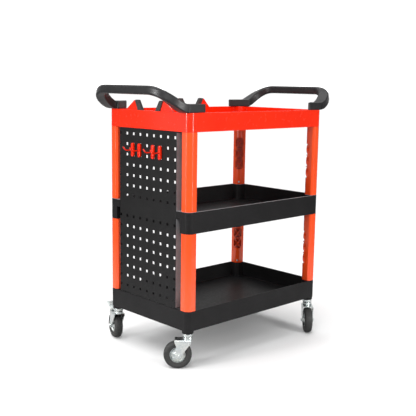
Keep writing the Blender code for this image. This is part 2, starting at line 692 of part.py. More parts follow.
def brake_pedal():
    """Foot pedal above the wheel: a bent plate on a cross pin between the fork's legs. Its
    shoe comes down on the tyre when the pedal is pressed."""
    outline = [(-0.004, 0.0026), (-0.004, 0.0048), (0.006, 0.0052), (0.048, 0.0236),
               (0.0535, 0.0225), (0.0530, 0.0200), (0.0485, 0.0206), (SHOE_X + 0.003, 0.0062),
               (SHOE_X + 0.0015, -SHOE_DROP), (SHOE_X - 0.0015, -SHOE_DROP - 0.0004),
               (0.007, 0.0020), (0.004, 0.0005), (0.001, -0.0005), (-0.002, 0.0)]
    upright = Matrix.Rotation(math.pi / 2, 4, "X")
    plate = flat_plate("pedal", outline, 0.0360, upright)
    pin = cylinder("pin", PEDAL_PIN_R, (0, -FORK_INNER - 0.0020, 0), (0, FORK_INNER + 0.0020, 0), 12)
    return finish(join(plate, pin), "zinc_steel", 30)


def casters():
    shapes = {"fork": fork(False), "braked_fork": fork(True), "stem": stem(), "axle": axle(),
              "rim": rim(), "tyre": tyre(), "pedal": brake_pedal()}
    meshes = {key: obj.data for key, obj in shapes.items()}
    for obj in shapes.values():
        bpy.data.objects.remove(obj)
    for corner, spec in CASTERS.items():
        x_side, y_side = spec["sides"]
        pivot = bpy.data.objects.new(f"swivel_{corner}", None)
        cart.objects.link(pivot)
        place(pivot, (x_side * POST_X, y_side * POST_Y, 0), math.radians(spec["trail_deg"]))
        hub = (TRAIL, 0, WHEEL_R)
        fork_mesh = meshes["braked_fork" if spec["brake"] else "fork"]
        place(add_object(f"caster_stem_{corner}", meshes["stem"]), parent=pivot)
        place(add_object(f"caster_fork_{corner}", fork_mesh), parent=pivot)
        place(add_object(f"caster_axle_{corner}", meshes["axle"]), hub, parent=pivot)
        place(add_object(f"caster_rim_{corner}", meshes["rim"]), hub, parent=pivot)
        place(add_object(f"caster_tyre_{corner}", meshes["tyre"]), hub, parent=pivot)
        if spec["brake"]:
            place(add_object(f"brake_pedal_{corner}", meshes["pedal"]), (PEDAL_X, 0, PEDAL_Z),
                  parent=pivot)


def centre_on_box():
    base = bpy.data.objects.new("cart_base", None)
    base.location.y = SIDE_SHIFT
    for obj in cart.objects:
        if obj.parent is None:
            obj.parent = base
    cart.objects.link(base)


top_tray()
middle_tray()
bottom_tray()
posts()
pegboard_panel()
for number, column in enumerate((2, 3, 5, 6), start=1):
    hook(f"hook_{number}", ((HOLE_COLUMNS - 1) / 2 - column) * PITCH)
handle("handle_front", -1)
handle("handle_rear", 1)
for x_sign, y_sign, _ in corners():
    handle_foot(f"handle_foot_{corner_name(x_sign, y_sign)}", x_sign, y_sign)
tool_rests()
casters()
centre_on_box()
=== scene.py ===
"""Looks of the tool cart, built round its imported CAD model.

Every shape is in metres in the model's own frame: +Z up, +X away from the pegboard end. Each
CAD node is replaced by a finer piece that fills the same space and rides on the same body.
"""

import json
from math import atan2, cos, degrees, hypot, pi, radians, sin, sqrt, tan

import bmesh
import bpy
from mathutils import Matrix, Vector


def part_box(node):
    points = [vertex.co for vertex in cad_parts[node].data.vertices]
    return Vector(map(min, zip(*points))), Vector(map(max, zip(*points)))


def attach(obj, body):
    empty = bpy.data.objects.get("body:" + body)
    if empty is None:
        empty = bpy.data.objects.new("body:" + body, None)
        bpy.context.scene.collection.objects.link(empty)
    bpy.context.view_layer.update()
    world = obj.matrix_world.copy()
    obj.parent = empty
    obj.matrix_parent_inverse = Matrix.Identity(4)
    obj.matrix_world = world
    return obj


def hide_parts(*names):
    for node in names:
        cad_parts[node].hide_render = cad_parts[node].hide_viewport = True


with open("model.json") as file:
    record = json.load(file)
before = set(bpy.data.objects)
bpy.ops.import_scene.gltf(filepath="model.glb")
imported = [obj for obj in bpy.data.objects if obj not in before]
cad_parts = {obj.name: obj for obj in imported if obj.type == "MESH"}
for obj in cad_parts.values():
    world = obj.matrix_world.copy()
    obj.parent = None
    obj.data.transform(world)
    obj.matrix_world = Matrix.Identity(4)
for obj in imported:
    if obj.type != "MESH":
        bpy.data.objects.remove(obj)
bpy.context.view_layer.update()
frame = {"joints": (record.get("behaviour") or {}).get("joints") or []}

# ---- sizes read from the frame
GAP = 0.0003  # between pieces that touch
BOSS_DROP = 0.011  # of the bottom tray's bosses, below its base
tray_low, tray_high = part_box("top_tray")
post_low, post_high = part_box("post_upper_front_left")
lower_low, lower_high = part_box("post_lower_front_left")
panel_low, panel_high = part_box("pegboard_panel")

LENGTH = tray_high.x - tray_low.x
WIDTH = tray_high.y - tray_low.y
MIDDLE_Y = (tray_high.y + tray_low.y) / 2
TOP_RIM, TOP_BASE = tray_high.z, post_high.z + GAP
MIDDLE_RIM, MIDDLE_BASE = post_low.z - GAP, lower_high.z + GAP
BOTTOM_RIM = lower_low.z - GAP
BOSS_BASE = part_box("bottom_tray")[0].z
BOTTOM_BASE = BOSS_BASE + BOSS_DROP
POST_SIZE = post_high.x - post_low.x
POST_X = LENGTH / 2 - POST_SIZE / 2
POST_Y = WIDTH / 2 - POST_SIZE / 2

# ---- driving dimensions
CORNER_R = 0.017  # a post's inner corner, and the trays' walls round the posts
CORNER_REACH, BEND_R, BEND_DEG = 0.0182, 0.007, 22  # of a moulded corner and its tight bends
POST_CHAMFER = 0.0075  # cut off a post's side corners
WALL = 0.005
RIM_R, BASE_EDGE_R = 0.0016, 0.0010  # roundness of a tray's rim and of its bottom edge
WALL_BEND_R = 0.003  # where the walls turn in towards a post
FLOOR_RISE = 0.009  # tray floor above its base
FLOOR_FILLET = 0.004
RIB_DEPTH, RIB = 0.005, 0.003
RIBBED_X, RIBBED_Y = 0.580, 0.350  # of a tray's underside
RIB_CELLS_X, RIB_CELLS_Y = 4, 3

LATTICE_CELL, LATTICE_START, LATTICE_CELLS = 0.046, 0.065, 3
LATTICE_HALF_WIDTH, LATTICE_RIB = 0.016, 0.003
LATTICE_FLOOR = -0.0100  # of the pockets between ribs, from the post's axis
SCREW_RISE, SCREW_HEAD_R, SCREW_SEAT = 0.0105, 0.0042, 0.0016

PANEL_SHEET, PANEL_BEND = 0.0012, 0.0022
PANEL_RECESS, PANEL_LIP = 0.0285, 0.028
HOLE, PITCH, HOLE_COLUMNS = 0.010, 0.038, 9
HOLE_TOP_Z, ROWS_ABOVE, ROWS_BELOW = 0.810, 7, 8
NOTCH_LENGTH, NOTCH_PITCH = 0.052, 0.078  # of the cuts along the panel's lower edge
HOOK_THICK, PEG_R, HOOK_ARM_R = 0.008, 0.0038, 0.0024

FOOT_LENGTH, FOOT_HEIGHT = 0.088, 0.0285
FOOT_OUT_Y, FOOT_IN_Y = 0.222, 0.162
ARM_OUT_Y, ARM_IN_Y, ARM_BASE = 0.113, 0.108, 0.048
ARM_SQUARENESS, ARM_HASTE = 0.84, 0.68  # of the arm's bow in plan, and of its rise
GRIP_OUT_X, GRIP_IN_X, GRIP_Z, GRIP_HEIGHT = 0.4525, 0.4265, 0.9690, 0.0310
ARM_OVERHANG, FOOT_OVERHANG = 0.0023, 0.0020  # past the top tray's ends

REST_THICK, TRIM_THICK, TRIM_BAND, REST_TOP = 0.006, 0.012, 0.020, 0.930
END_REST = (0.131, 0.0835, 0.057)  # half widths of its base, its top and its notch
SIDE_REST = (0.103, 0.0715, 0.045)
NOTCH_Z, NOTCH_SLOPE = 0.868, 0.60
SIDE_REST_X = 0.048
RAIL_HEIGHT, RAIL_WIDTH = 0.002, 0.0135  # raised strips on the tray's floor, under the rests
END_RAIL, SIDE_RAIL = 0.266, 0.210  # their lengths

WHEEL_HALF_WIDTH, HUB_R, DISC_R = 0.016, 0.0095, 0.028
AXLE_R, HUB_HALF, KING_BORE_R = 0.004, 0.018, 0.0048
FORK_FRONT, FORK_REAR = 0.0130, 0.0455  # reach of a fork's legs, from the swivel's axis
FORK_SHEET, FORK_INNER, CROWN_BASE, CUP_HEIGHT = 0.0025, 0.0190, 0.1045, 0.0095
PEDAL_X, PEDAL_Z, PEDAL_PIN_R = 0.0405, 0.1070, 0.0022

VIEW_WAY = (0.69, 0.72, 0.0)  # about where the camera looks, level
FRONT_GLOW, SIDE_GLOW, BACK_GLOW = 0.8, 0.06, 0.85  # strength of the surroundings, by side
CAMERA_PLACE = (-2.0508, -2.1062, 1.002)  # from the trays' middle, above the floor
CAMERA_YAW, CAMERA_PITCH, CAMERA_ROLL = 43.57, 9.47, 0.84
CAMERA_LENS, SENSOR_WIDTH = 65.97, 36.0  # millimetres

PAST = 0.05  # how far a cutter reaches beyond what it cuts
STRAIGHT = 1.56  # half the angle, in radians, at a corner that is no corner

UP = Vector((0, 0, 1))
INWARD = Vector((1, 1, 0)).normalized()  # a post's ribbed side, before it is turned
POST_FACE = (POST_SIZE / 2 - CORNER_R) * sqrt(2) + CORNER_R  # from its axis, inwards
CORNERS = {"front_left": (-1, -1), "front_right": (-1, 1),
           "rear_left": (1, -1), "rear_right": (1, 1)}

scene = bpy.context.scene
pieces = bpy.data.collections.new("tool_cart")
scene.collection.children.link(pieces)


# ---- mesh helpers
def add_object(name, data, collection=pieces):
    made = bpy.data.objects.new(name, data)
    collection.objects.link(made)
    return made


def from_bmesh(name, bm):
    bmesh.ops.recalc_face_normals(bm, faces=bm.faces)
    mesh = bpy.data.meshes.new(name)
    bm.to_mesh(mesh)
    bm.free()
    return add_object(name, mesh)


def arc(centre, radius, start_deg, end_deg, steps):
    """Points along an arc, both ends included."""
    angles = [radians(start_deg + (end_deg - start_deg) * i / steps)
              for i in range(steps + 1)]
    return [Vector((centre[0] + radius * cos(a), centre[1] + radius * sin(a)))
            for a in angles]


def rounded(corners, radius, steps=6):
    """Closed polygon with an arc at each corner. The radius is one number or one a corner."""
    outline = []
    for i, corner in enumerate(corners):
        size = radius[i] if hasattr(radius, "__len__") else radius
        here = Vector(corner)
        back = Vector(corners[i - 1]) - here
        ahead = Vector(corners[(i + 1) % len(corners)]) - here
        half = back.angle(ahead) / 2
        if size <= 0 or half > STRAIGHT:
            outline.append(here)
            continue
        reach = min(size / tan(half), 0.49 * min(back.length, ahead.length))
        size = reach * tan(half)
        centre = here + (back.normalized() + ahead.normalized()).normalized() * size / sin(half)
        first = here + back.normalized() * reach - centre
        last = here + ahead.normalized() * reach - centre
        start = atan2(first.y, first.x)
        sweep = (atan2(last.y, last.x) - start + pi) % (2 * pi) - pi
        outline += arc(centre, size, degrees(start), degrees(start + sweep), steps)
    return outline


def rectangle(half_x, half_y, radius, steps=8):
    """Rounded rectangle about the origin, counter-clockwise."""
    return rounded([(-half_x, -half_y), (half_x, -half_y), (half_x, half_y), (-half_x, half_y)],
                   radius, steps)


def corner_profile():
    """Moulded corner, as insets from the side it leaves and the side it joins: a flat bow
    between two tighter bends."""
    turn = radians(BEND_DEG)
    bow_r = (CORNER_REACH - BEND_R * (1 + sin(turn) - cos(turn))) / (
        cos(turn) - sin(turn))
    spans = ((BEND_R, 0, turn, 4), (bow_r, turn, pi / 2 - turn, 6),
             (BEND_R, pi / 2 - turn, pi / 2, 4))
    leaving, joining = 0.0, CORNER_REACH
    points = [(leaving, joining)]
    for radius, first, last, steps in spans:
        for i in range(1, steps + 1):
            angle = first + (last - first) * i / steps
            points.append((leaving + radius * (cos(first) - cos(angle)),
                           joining - radius * (sin(angle) - sin(first))))
        leaving, joining = points[-1]
    return points


def moulded_rectangle(half_x, half_y):
    """Counter-clockwise, with moulded corners."""
    corner = corner_profile()
    outline = [(v - half_x, half_y - u) for u, v in corner]
    outline += [(u - half_x, v - half_y) for u, v in corner]
    outline += [(half_x - v, u - half_y) for u, v in corner]
    outline += [(half_x - u, half_y - v) for u, v in corner]
    return [Vector(point) for point in outline]


def inset(outline, distance):
    """Counter-clockwise outline moved inwards by a distance, its sharpest corners by less."""
    placed = []
    for i, here in enumerate(outline):
        first = (here - outline[i - 1]).normalized()
        second = (outline[(i + 1) % len(outline)] - here).normalized()
        normal = Vector((-first.y - second.y, first.x + second.x)).normalized()
        lean = max(0.35, normal.dot(Vector((-first.y, first.x))))
        placed.append(here + normal * distance / lean)
    return placed


def mirrored(points):
    return [(-x, y) for x, y in reversed(points)]


def level(outline, z):
    return [Vector((point.x, point.y, z)) for point in outline]


def quarter(steps):
    """Sine and cosine at equal steps of a quarter turn."""
    angles = [pi / 2 * i / steps for i in range(steps + 1)]
    return [(sin(angle), cos(angle)) for angle in angles]


def rim_rings(outline, low, high, low_r, high_r, steps=4):
    """Rings up the side of a plate whose lower and upper edges are rounded."""
    rings = [level(inset(outline, low_r * (1 - sine)), low + low_r * (1 - cosine))
             for sine, cosine in quarter(steps)]
    return rings + [level(inset(outline, high_r * (1 - cosine)), high - high_r * (1 - sine))
                    for sine, cosine in quarter(steps)]


def add_strip(bm, rings):
    """Faces between rings of the same length. Gives back the rings' vertices."""
    rows = [[bm.verts.new(point) for point in ring] for ring in rings]
    for lower, upper in zip(rows, rows[1:]):
        for i in range(len(lower)):
            bm.faces.new((lower[i - 1], lower[i], upper[i], upper[i - 1]))
    return rows


def loft(name, rings):
    """Closed body through rings of the same length, with a flat cap at each end."""
    bm = bmesh.new()
    rows = add_strip(bm, rings)
    bm.faces.new(rows[0])
    bm.faces.new(rows[-1])
    return from_bmesh(name, bm)


def plate(name, outline, low, high, edge_r, steps=3):
    """Flat piece with rounded edges, its outline in XY."""
    return loft(name, rim_rings(outline, low, high, edge_r, edge_r, steps))


def block(name, size, centre=(0, 0, 0)):
    bm = bmesh.new()
    bmesh.ops.create_cube(bm, size=1.0)
    bmesh.ops.scale(bm, vec=size, verts=bm.verts)
    bmesh.ops.translate(bm, vec=centre, verts=bm.verts)
    return from_bmesh(name, bm)


def cylinder(name, radius, start, end, sides=32):
    start, end = Vector(start), Vector(end)
    bm = bmesh.new()
    bmesh.ops.create_cone(bm, cap_ends=True, segments=sides, radius1=radius,
                          radius2=radius, depth=(end - start).length)
    turn = UP.rotation_difference(end - start).to_matrix().to_4x4()
    bmesh.ops.transform(bm, matrix=Matrix.Translation((start + end) / 2) @ turn, verts=bm.verts)
    return from_bmesh(name, bm)


def turned(name, profile, sides=48):
    """Solid of revolution about Z. Points are (radius, height); a ring's profile is closed."""
    bm = bmesh.new()
    verts = [bm.verts.new((radius, 0, z)) for radius, z in profile]
    edges = [bm.edges.new(pair) for pair in zip(verts, verts[1:])]
    if profile[0][0] > 0:
        edges.append(bm.edges.new((verts[-1], verts[0])))
    bmesh.ops.spin(bm, geom=verts + edges, axis=(0, 0, 1), cent=(0, 0, 0),
                   angle=2 * pi, steps=sides, use_merge=True)
    bmesh.ops.remove_doubles(bm, verts=bm.verts, dist=1e-6)
    return from_bmesh(name, bm)


def tube(name, route, radius, sides=12):
    """Round bar along a route of points, with domed ends."""
    points = [Vector(p) for p in route]
    last = len(points) - 1
    spin = [2 * pi * k / sides for k in range(sides)]
    rings = []
    for i, here in enumerate(points):
        ahead = (points[min(i + 1, last)] - points[max(i - 1, 0)]).normalized()
        side = ahead.cross(Vector((0, 1, 0))).normalized()
        across = ahead.cross(side)
        ring = [(side * cos(a) + across * sin(a)) * radius for a in spin]
        if i in (0, last):
            way = ahead * (-radius if i == 0 else radius)
            domes = [[here + way * sin(t) + p * cos(t) for p in ring] for t in (0.0, 0.5, 1.0, 1.4)]
            rings += domes[::-1] if i == 0 else domes
        else:
            rings.append([here + p for p in ring])
    return loft(name, rings)


def combine(target, tool, operation, solver="EXACT"):
    """Boolean of two closed bodies. The tool is used up."""
    boolean = target.modifiers.new(operation.title(), "BOOLEAN")
    boolean.operation = operation
    boolean.object = tool
    boolean.solver = solver
    bpy.context.view_layer.update()
    graph = bpy.context.evaluated_depsgraph_get()
    mesh = bpy.data.meshes.new_from_object(target.evaluated_get(graph))
    target.modifiers.clear()
    target.data = mesh
    bpy.data.objects.remove(tool)
    return target


def cut(target, tool):
    return combine(target, tool, "DIFFERENCE")


def join(target, tool, solver="EXACT"):
    return combine(target, tool, "UNION", solver)


def merge(name, solids):
    """Disjoint bodies as one object."""
    bm = bmesh.new()
    for solid in solids:
        bm.from_mesh(solid.data)
        bpy.data.objects.remove(solid)
    return from_bmesh(name, bm)


def moved(solid, matrix):
    solid.data.transform(matrix)
    return solid


def shifted(solid, place):
    return moved(solid, Matrix.Translation(place))


UPRIGHT = Matrix.Rotation(pi / 2, 4, "X")  # a plate's XY outline becomes X and up
ENDWISE = Matrix(((0, 0, 1, 0), (1, 0, 0, 0), (0, 1, 0, 0), (0, 0, 0, 1)))  # Y and up


# ---- material helpers
class Nodes:
    """Short calls for building the node tree of a material, or of the surroundings."""

    def __init__(self, name, kind=bpy.data.materials, shader="Principled BSDF"):
        self.owner = kind.new(name)
        self.owner.use_nodes = True
        self.tree = self.owner.node_tree
        self.shader = self.tree.nodes[shader]
        self.place = self.node("ShaderNodeTexCoord", "Object")

    def feed(self, value, socket):
        """Links another node's output to a socket, or sets it to a plain value."""
        if isinstance(value, bpy.types.NodeSocket):
            self.tree.links.new(value, socket)
        else:
            socket.default_value = value

    def node(self, kind, output, **values):
        made = self.tree.nodes.new(kind)
        for name, value in values.items():
            self.feed(value, made.inputs[name.replace("_", " ")])
        return made.outputs[output]

    def calculate(self, kind, operation, *values):
        made = self.tree.nodes.new(kind)
        made.operation = operation
        for socket, value in zip(made.inputs, values):
            self.feed(value, socket)
        return made.outputs["Value"]

    def mapped(self, scale):
        return self.node("ShaderNodeMapping", "Vector", Vector=self.place, Scale=scale)

    def noise(self, scale, detail=3.0, roughness=0.5, vector=None):
        return self.node("ShaderNodeTexNoise", "Fac", Vector=vector or self.place, Scale=scale,
                         Detail=detail, Roughness=roughness)

    def cells(self, scale):
        return self.node("ShaderNodeTexVoronoi", "Distance", Vector=self.place, Scale=scale)

    def ramp(self, value, low, high, start=0.0, end=1.0):
        """Value from low to high, mapped to start to end."""
        return self.node("ShaderNodeMapRange", "Result", Value=value, From_Min=low, From_Max=high,
                         To_Min=start, To_Max=end)

    def mix(self, factor, first, second):
        made = self.tree.nodes.new("ShaderNodeMix")
        made.data_type = "RGBA"
        values = [(*value, 1.0) if isinstance(value, tuple) else value for value in (first, second)]
        for socket, value in zip([s for s in made.inputs if s.enabled], [factor] + values):
            self.feed(value, socket)
        return [s for s in made.outputs if s.enabled][0]

    def bump(self, height, strength, distance):
        """Adds a bump on top of any made before."""
        earlier = {"Normal": link.from_socket for link in self.shader.inputs["Normal"].links}
        made = self.node("ShaderNodeBump", "Normal", Strength=strength, Distance=distance,
                         Height=height, **earlier)
        self.set(Normal=made)

    def tint(self, tone, first, second, low=0.3, high=0.7):
        """Colour between two shades, as a pattern goes from low to high."""
        return self.mix(self.ramp(tone, low, high), first, second)

    def colour(self, source):
        self.set(Base_Color=source)

    def marked(self, base, pattern, low, high, share, marks):
        """Base colour with a share of another where a pattern goes from low to high."""
        self.colour(self.mix(self.ramp(pattern, low, high, 0.0, share), base, marks))

    def rough(self, tone, first, second, low=0.3, high=0.7):
        """Roughness between two values, as a pattern goes from low to high."""
        self.set(Roughness=self.ramp(tone, low, high, first, second))

    def set(self, **values):
        """Sets the shader's own inputs."""
        for name, value in values.items():
            self.feed(value, self.shader.inputs[name.replace("_", " ")])


def red(n, flow_scale, stretch, first, second, fleck, smoothest, roughest):
    """Orange-red plastic with a fine eroded grain and faint flow shading."""
    flow = n.noise(flow_scale, 2.0, 0.6, n.mapped((1.0, 1.0, stretch)))
    n.marked(n.tint(flow, first, second, 0.35, 0.65), n.noise(1400.0, 2.0), 0.60, 0.75, 0.12, fleck)
    n.rough(n.noise(60.0, 4.0, 0.6), smoothest, roughest)
    n.bump(n.noise(1500.0, 2.0, 0.6), 0.04, 0.0004)


def red_plastic(n):
    """Satin moulding whose flats waver a little."""
    red(n, 5.0, 0.35, (0.84, 0.018, 0.001), (0.90, 0.023, 0.001), (0.92, 0.060, 0.012), 0.21, 0.29)
    n.bump(n.noise(26.0, 2.0), 0.04, 0.004)
    n.set(Specular_IOR_Level=0.2, Coat_Weight=0.6, Coat_Roughness=0.11)


def post_plastic_painted_sheen(n):
    """Paler than the trays, the paler base a painted sheen; glossier too, its flow drawn out along the
    post.
    """
    # the paler, pinker base colours are a painted sheen
    red(n, 6.0, 0.15, (0.86, 0.070, 0.010), (0.92, 0.084, 0.014), (0.92, 0.10, 0.03), 0.20, 0.27)
    n.set(Specular_IOR_Level=0.2, Coat_Weight=0.6, Coat_Roughness=0.12, Coat_IOR=1.6)


def black_plastic(n):
    """Moulded black plastic with a leathery grain, slightly greyer where it is rubbed."""
    base = n.tint(n.noise(9.0, 3.0, 0.6), (0.010, 0.0096, 0.010), (0.014, 0.0135, 0.014))
    n.marked(base, n.noise(240.0, 5.0, 0.7), 0.56, 0.70, 0.30, (0.050, 0.048, 0.048))
    n.rough(n.noise(140.0, 4.0, 0.6), 0.36, 0.50)
    n.bump(n.cells(900.0), 0.16, 0.0006)
    n.bump(n.noise(1800.0, 3.0, 0.6), 0.10, 0.0004)
    n.set(Specular_IOR_Level=0.10)


def black_steel(n):
    """Black powder coat on sheet steel: fine orange peel with a few glossier specks."""
    base = n.tint(n.noise(14.0, 3.0, 0.6), (0.006, 0.0058, 0.006), (0.009, 0.0087, 0.009))
    n.marked(base, n.noise(1100.0, 3.0, 0.7), 0.55, 0.72, 0.35, (0.040, 0.0385, 0.0385))
    n.rough(n.noise(420.0, 3.0, 0.6), 0.42, 0.60)
    n.bump(n.noise(620.0, 2.0, 0.5), 0.28, 0.0006)
    n.bump(n.noise(2100.0, 2.0, 0.6), 0.14, 0.0003)
    n.set(Specular_IOR_Level=0.15)


def painted_sheen(n):
    """Painted sheen on a black surface's edges: greyer, the grey standing in for light they reflect,
    and smoother.
    """
    n.colour(n.tint(n.noise(22.0, 4.0, 0.6), (0.19, 0.188, 0.196), (0.25, 0.248, 0.258)))
    n.rough(n.noise(300.0, 3.0, 0.6), 0.34, 0.46)
    n.bump(n.noise(900.0, 2.0, 0.5), 0.12, 0.0004)


def handle_plastic(n):
    """Smooth dark grey grip plastic with a soft sheen and handling marks."""
    base = n.tint(n.noise(18.0, 3.0, 0.6), (0.013, 0.0126, 0.0135), (0.018, 0.0175, 0.0185))
    n.marked(base, n.noise(70.0, 6.0, 0.75), 0.58, 0.72, 0.35, (0.060, 0.058, 0.061))
    n.rough(n.noise(110.0, 5.0, 0.65), 0.34, 0.46)
    n.bump(n.noise(1300.0, 2.0, 0.6), 0.10, 0.0004)
    n.set(Specular_IOR_Level=0.22, Sheen_Weight=0.03, Sheen_Roughness=0.5)


def rest_rubber(n):
    """Matt black rubber with a fine stipple and a little bloom."""
    n.marked((0.014, 0.013, 0.013), n.noise(55.0, 5.0, 0.7), 0.45, 0.75, 0.5, (0.040, 0.038, 0.037))
    n.rough(n.noise(200.0, 3.0), 0.62, 0.80)
    n.bump(n.noise(1600.0, 3.0, 0.6), 0.30, 0.0005)


def zinc_steel(n):
    """Bright zinc plating: bluish white, with faint yellow patches and a rolled grain."""
    patch = n.noise(60.0, 4.0, 0.65)
    base = n.tint(patch, (0.50, 0.545, 0.555), (0.60, 0.615, 0.59), 0.35, 0.65)
    n.marked(base, n.noise(330.0, 5.0, 0.7), 0.56, 0.76, 0.4, (0.28, 0.295, 0.295))
    grain = n.noise(900.0, 2.0, 0.6, n.mapped((1.0, 1.0, 0.12)))
    n.rough(n.calculate("ShaderNodeMath", "ADD", grain, patch), 0.20, 0.36, 0.7, 1.3)
    n.bump(grain, 0.05, 0.0002)
    n.set(Metallic=1.0)


def tyre_rubber(n):
    """Dark grey solid rubber, matt, with floor dust worked into its surface."""
    base = n.tint(n.noise(40.0, 3.0, 0.6), (0.010, 0.0102, 0.0095), (0.016, 0.0163, 0.0150))
    n.marked(base, n.noise(150.0, 6.0, 0.75), 0.52, 0.75, 0.45, (0.050, 0.048, 0.045))
    n.rough(n.noise(260.0, 4.0), 0.58, 0.82)
    n.bump(n.noise(900.0, 4.0, 0.65), 0.30, 0.0006)


def material(name, make):
    n = Nodes(name)
    make(n)
    return n.owner


MATERIALS = {make.__name__: material(make.__name__, make) for make in (
    red_plastic, black_plastic, black_steel, handle_plastic, rest_rubber, zinc_steel, tyre_rubber)}
# painted sheen: grey base standing for reflected light on the panel's bent edges and the middle tray's
# rim top
SHEEN_PAINTED_STEEL = material("painted_sheen_steel", painted_sheen)
SHEEN_PAINTED_PLASTIC = material("painted_sheen_plastic", painted_sheen)
POST_SHEEN_PAINTED_PLASTIC = material("post_plastic_painted_sheen", post_plastic_painted_sheen)


def finish(solid, node, slot, body="cart", smooth_deg=32.0, matrix=Matrix()):
    """Gives a solid its material and clean shading, and lets it stand for its CAD node."""
    solid.name = node + "_detailed"
    solid.data.materials.clear()
    solid.data.materials.append(MATERIALS[slot])
    solid.data.shade_smooth()
    solid.data.set_sharp_from_angle(angle=radians(smooth_deg))
    solid.modifiers.new("Even shading", "WEIGHTED_NORMAL").keep_sharp = True
    solid.matrix_world = matrix
    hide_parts(node)
    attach(solid, body)
    return solid


def copy_of(solid):
    return add_object("copy", solid.data.copy())


def post_spots():
    """Corner name, place of its post and the turn that points the ribbed side inwards."""
    for corner, (x_side, y_side) in CORNERS.items():
        turn = atan2(-y_side, -x_side) - pi / 4
        yield corner, Vector((x_side * POST_X, MIDDLE_Y + y_side * POST_Y, 0)), turn


# ---- trays
def cavity_outline(low_x, high_x, half_y):
    """Inside of a tray, notched round its four corner columns, about the tray's centre."""
    column_x, column_y = LENGTH / 2 - POST_SIZE, WIDTH / 2 - POST_SIZE
    corners, radii = [], []
    for x_side, y_side in ((-1, -1), (1, -1), (1, 1), (-1, 1)):
        wall_x = high_x if x_side > 0 else -low_x
        notch = [(x_side * wall_x, y_side * column_y), (x_side * column_x, y_side * column_y),
                 (x_side * column_x, y_side * half_y)]
        corners += notch if x_side * y_side > 0 else notch[::-1]
        radii += [WALL_BEND_R, CORNER_R, WALL_BEND_R]
    return rounded(corners, radii, 8)


def tray_shell(name, base, rim, low_x=WALL - LENGTH / 2):
    """Open tray with a rounded rim, filleted floor and ribbed underside."""
    outer = moulded_rectangle(LENGTH / 2, WIDTH / 2)
    inner = cavity_outline(low_x, LENGTH / 2 - WALL, WIDTH / 2 - WALL)
    grown = inset(inner, -RIM_R)
    rings = [level(inset(grown, RIM_R * sine), rim - RIM_R * (1 - cosine))
             for sine, cosine in quarter(4)]
    rings += [level(inset(inner, FLOOR_FILLET * (1 - cosine)),
                    base + FLOOR_RISE + FLOOR_FILLET * (1 - sine)) for sine, cosine in quarter(4)]
    bm = bmesh.new()
    outside = add_strip(bm, rim_rings(outer, base, rim, BASE_EDGE_R, RIM_R))
    inside = add_strip(bm, rings)
    bm.faces.new(outside[0])
    bm.faces.new(inside[-1])
    rim_loops = [e for row in (outside[-1], inside[0]) for a, b in zip(row, row[1:] + row[:1])
                 for e in a.link_edges if e.other_vert(a) == b]
    bmesh.ops.bridge_loops(bm, edges=rim_loops)
    shell = from_bmesh(name, bm)
    span_x, span_y = RIBBED_X / RIB_CELLS_X, RIBBED_Y / RIB_CELLS_Y
    outline = rectangle((span_x - RIB) / 2, (span_y - RIB) / 2, 0.003, 3)
    pockets = []
    for j in range(RIB_CELLS_Y):
        for i in range(RIB_CELLS_X):
            pocket = plate("pocket", outline, -RIB_DEPTH, RIB_DEPTH, 0.0012)
            spot = ((i - (RIB_CELLS_X - 1) / 2) * span_x, (j - (RIB_CELLS_Y - 1) / 2) * span_y, base)
            pockets.append(shifted(pocket, spot))
    return cut(shell, merge("pockets", pockets))


def place_tray(shell, node, slot, rim=None):
    """Where a rim's height is given, that rim's top is painted paler: a painted highlight."""
    tray = finish(shifted(shell, (0, MIDDLE_Y, 0)), node, slot)
    if rim is not None:
        # painted highlight on the rim top
        tray.data.materials.append(SHEEN_PAINTED_PLASTIC)
        for face in tray.data.polygons:
            if face.normal.z > 0.35 and face.center.z > rim - RIM_R:
                face.material_index = 1


def top_tray():
    """Two raised strips along its walls carry the tool rests."""
    floor_z = TOP_BASE + FLOOR_RISE
    rails = []
    for x, y, half_x, half_y in (
            (-LENGTH / 2 + WALL + RAIL_WIDTH / 2 - 0.001, 0, RAIL_WIDTH / 2, END_RAIL / 2),
            (SIDE_REST_X, WIDTH / 2 - WALL - RAIL_WIDTH / 2 + 0.001, SIDE_RAIL / 2, RAIL_WIDTH / 2)):
        rail = plate("rail", rectangle(half_x, half_y, 0.002, 4), floor_z - 0.002,
                     floor_z + RAIL_HEIGHT, 0.0006)
        rails.append(shifted(rail, (x, y, 0)))
    shell = join(tray_shell("top", TOP_BASE, TOP_RIM), merge("rails", rails), "MANIFOLD")
    place_tray(shell, "top_tray", "red_plastic")


def middle_tray():
    """Its pegboard end stands back for the panel, below a lip beside each post."""
    end = -LENGTH / 2
    shell = tray_shell("middle", MIDDLE_BASE, MIDDLE_RIM, end + PANEL_RECESS + WALL)
    panel_half = (panel_high.y - panel_low.y) / 2 + 0.0005
    for half_width, top in ((WIDTH / 2 - POST_SIZE, MIDDLE_RIM - PANEL_LIP),
                            (panel_half, MIDDLE_RIM + PAST)):
        recess = plate("recess", rectangle(PANEL_RECESS, half_width, 0.002, 3), MIDDLE_BASE - PAST,
                       top, 0.0005)
        shell = cut(shell, shifted(recess, (end, 0, 0)))
    # its rim top gets the painted highlight
    place_tray(shell, "middle_tray", "black_plastic", MIDDLE_RIM)


def bottom_tray():
    """Round bosses under its corners take the caster stems."""
    shell = tray_shell("bottom", BOTTOM_BASE, BOTTOM_RIM)
    top = BOTTOM_BASE + 0.006
    bosses = []
    for _, spot, _ in post_spots():
        boss = turned("boss", [(0, top), (0.0215, top), (0.0210, BOTTOM_BASE - 0.0005),
                               (0.0205, BOSS_BASE + 0.0020), (0.0195, BOSS_BASE + 0.0004),
                               (0.0185, BOSS_BASE), (0, BOSS_BASE)])
        bosses.append(shifted(boss, spot - Vector((0, MIDDLE_Y, 0))))
    place_tray(join(shell, merge("bosses", bosses)), "bottom_tray", "black_plastic")


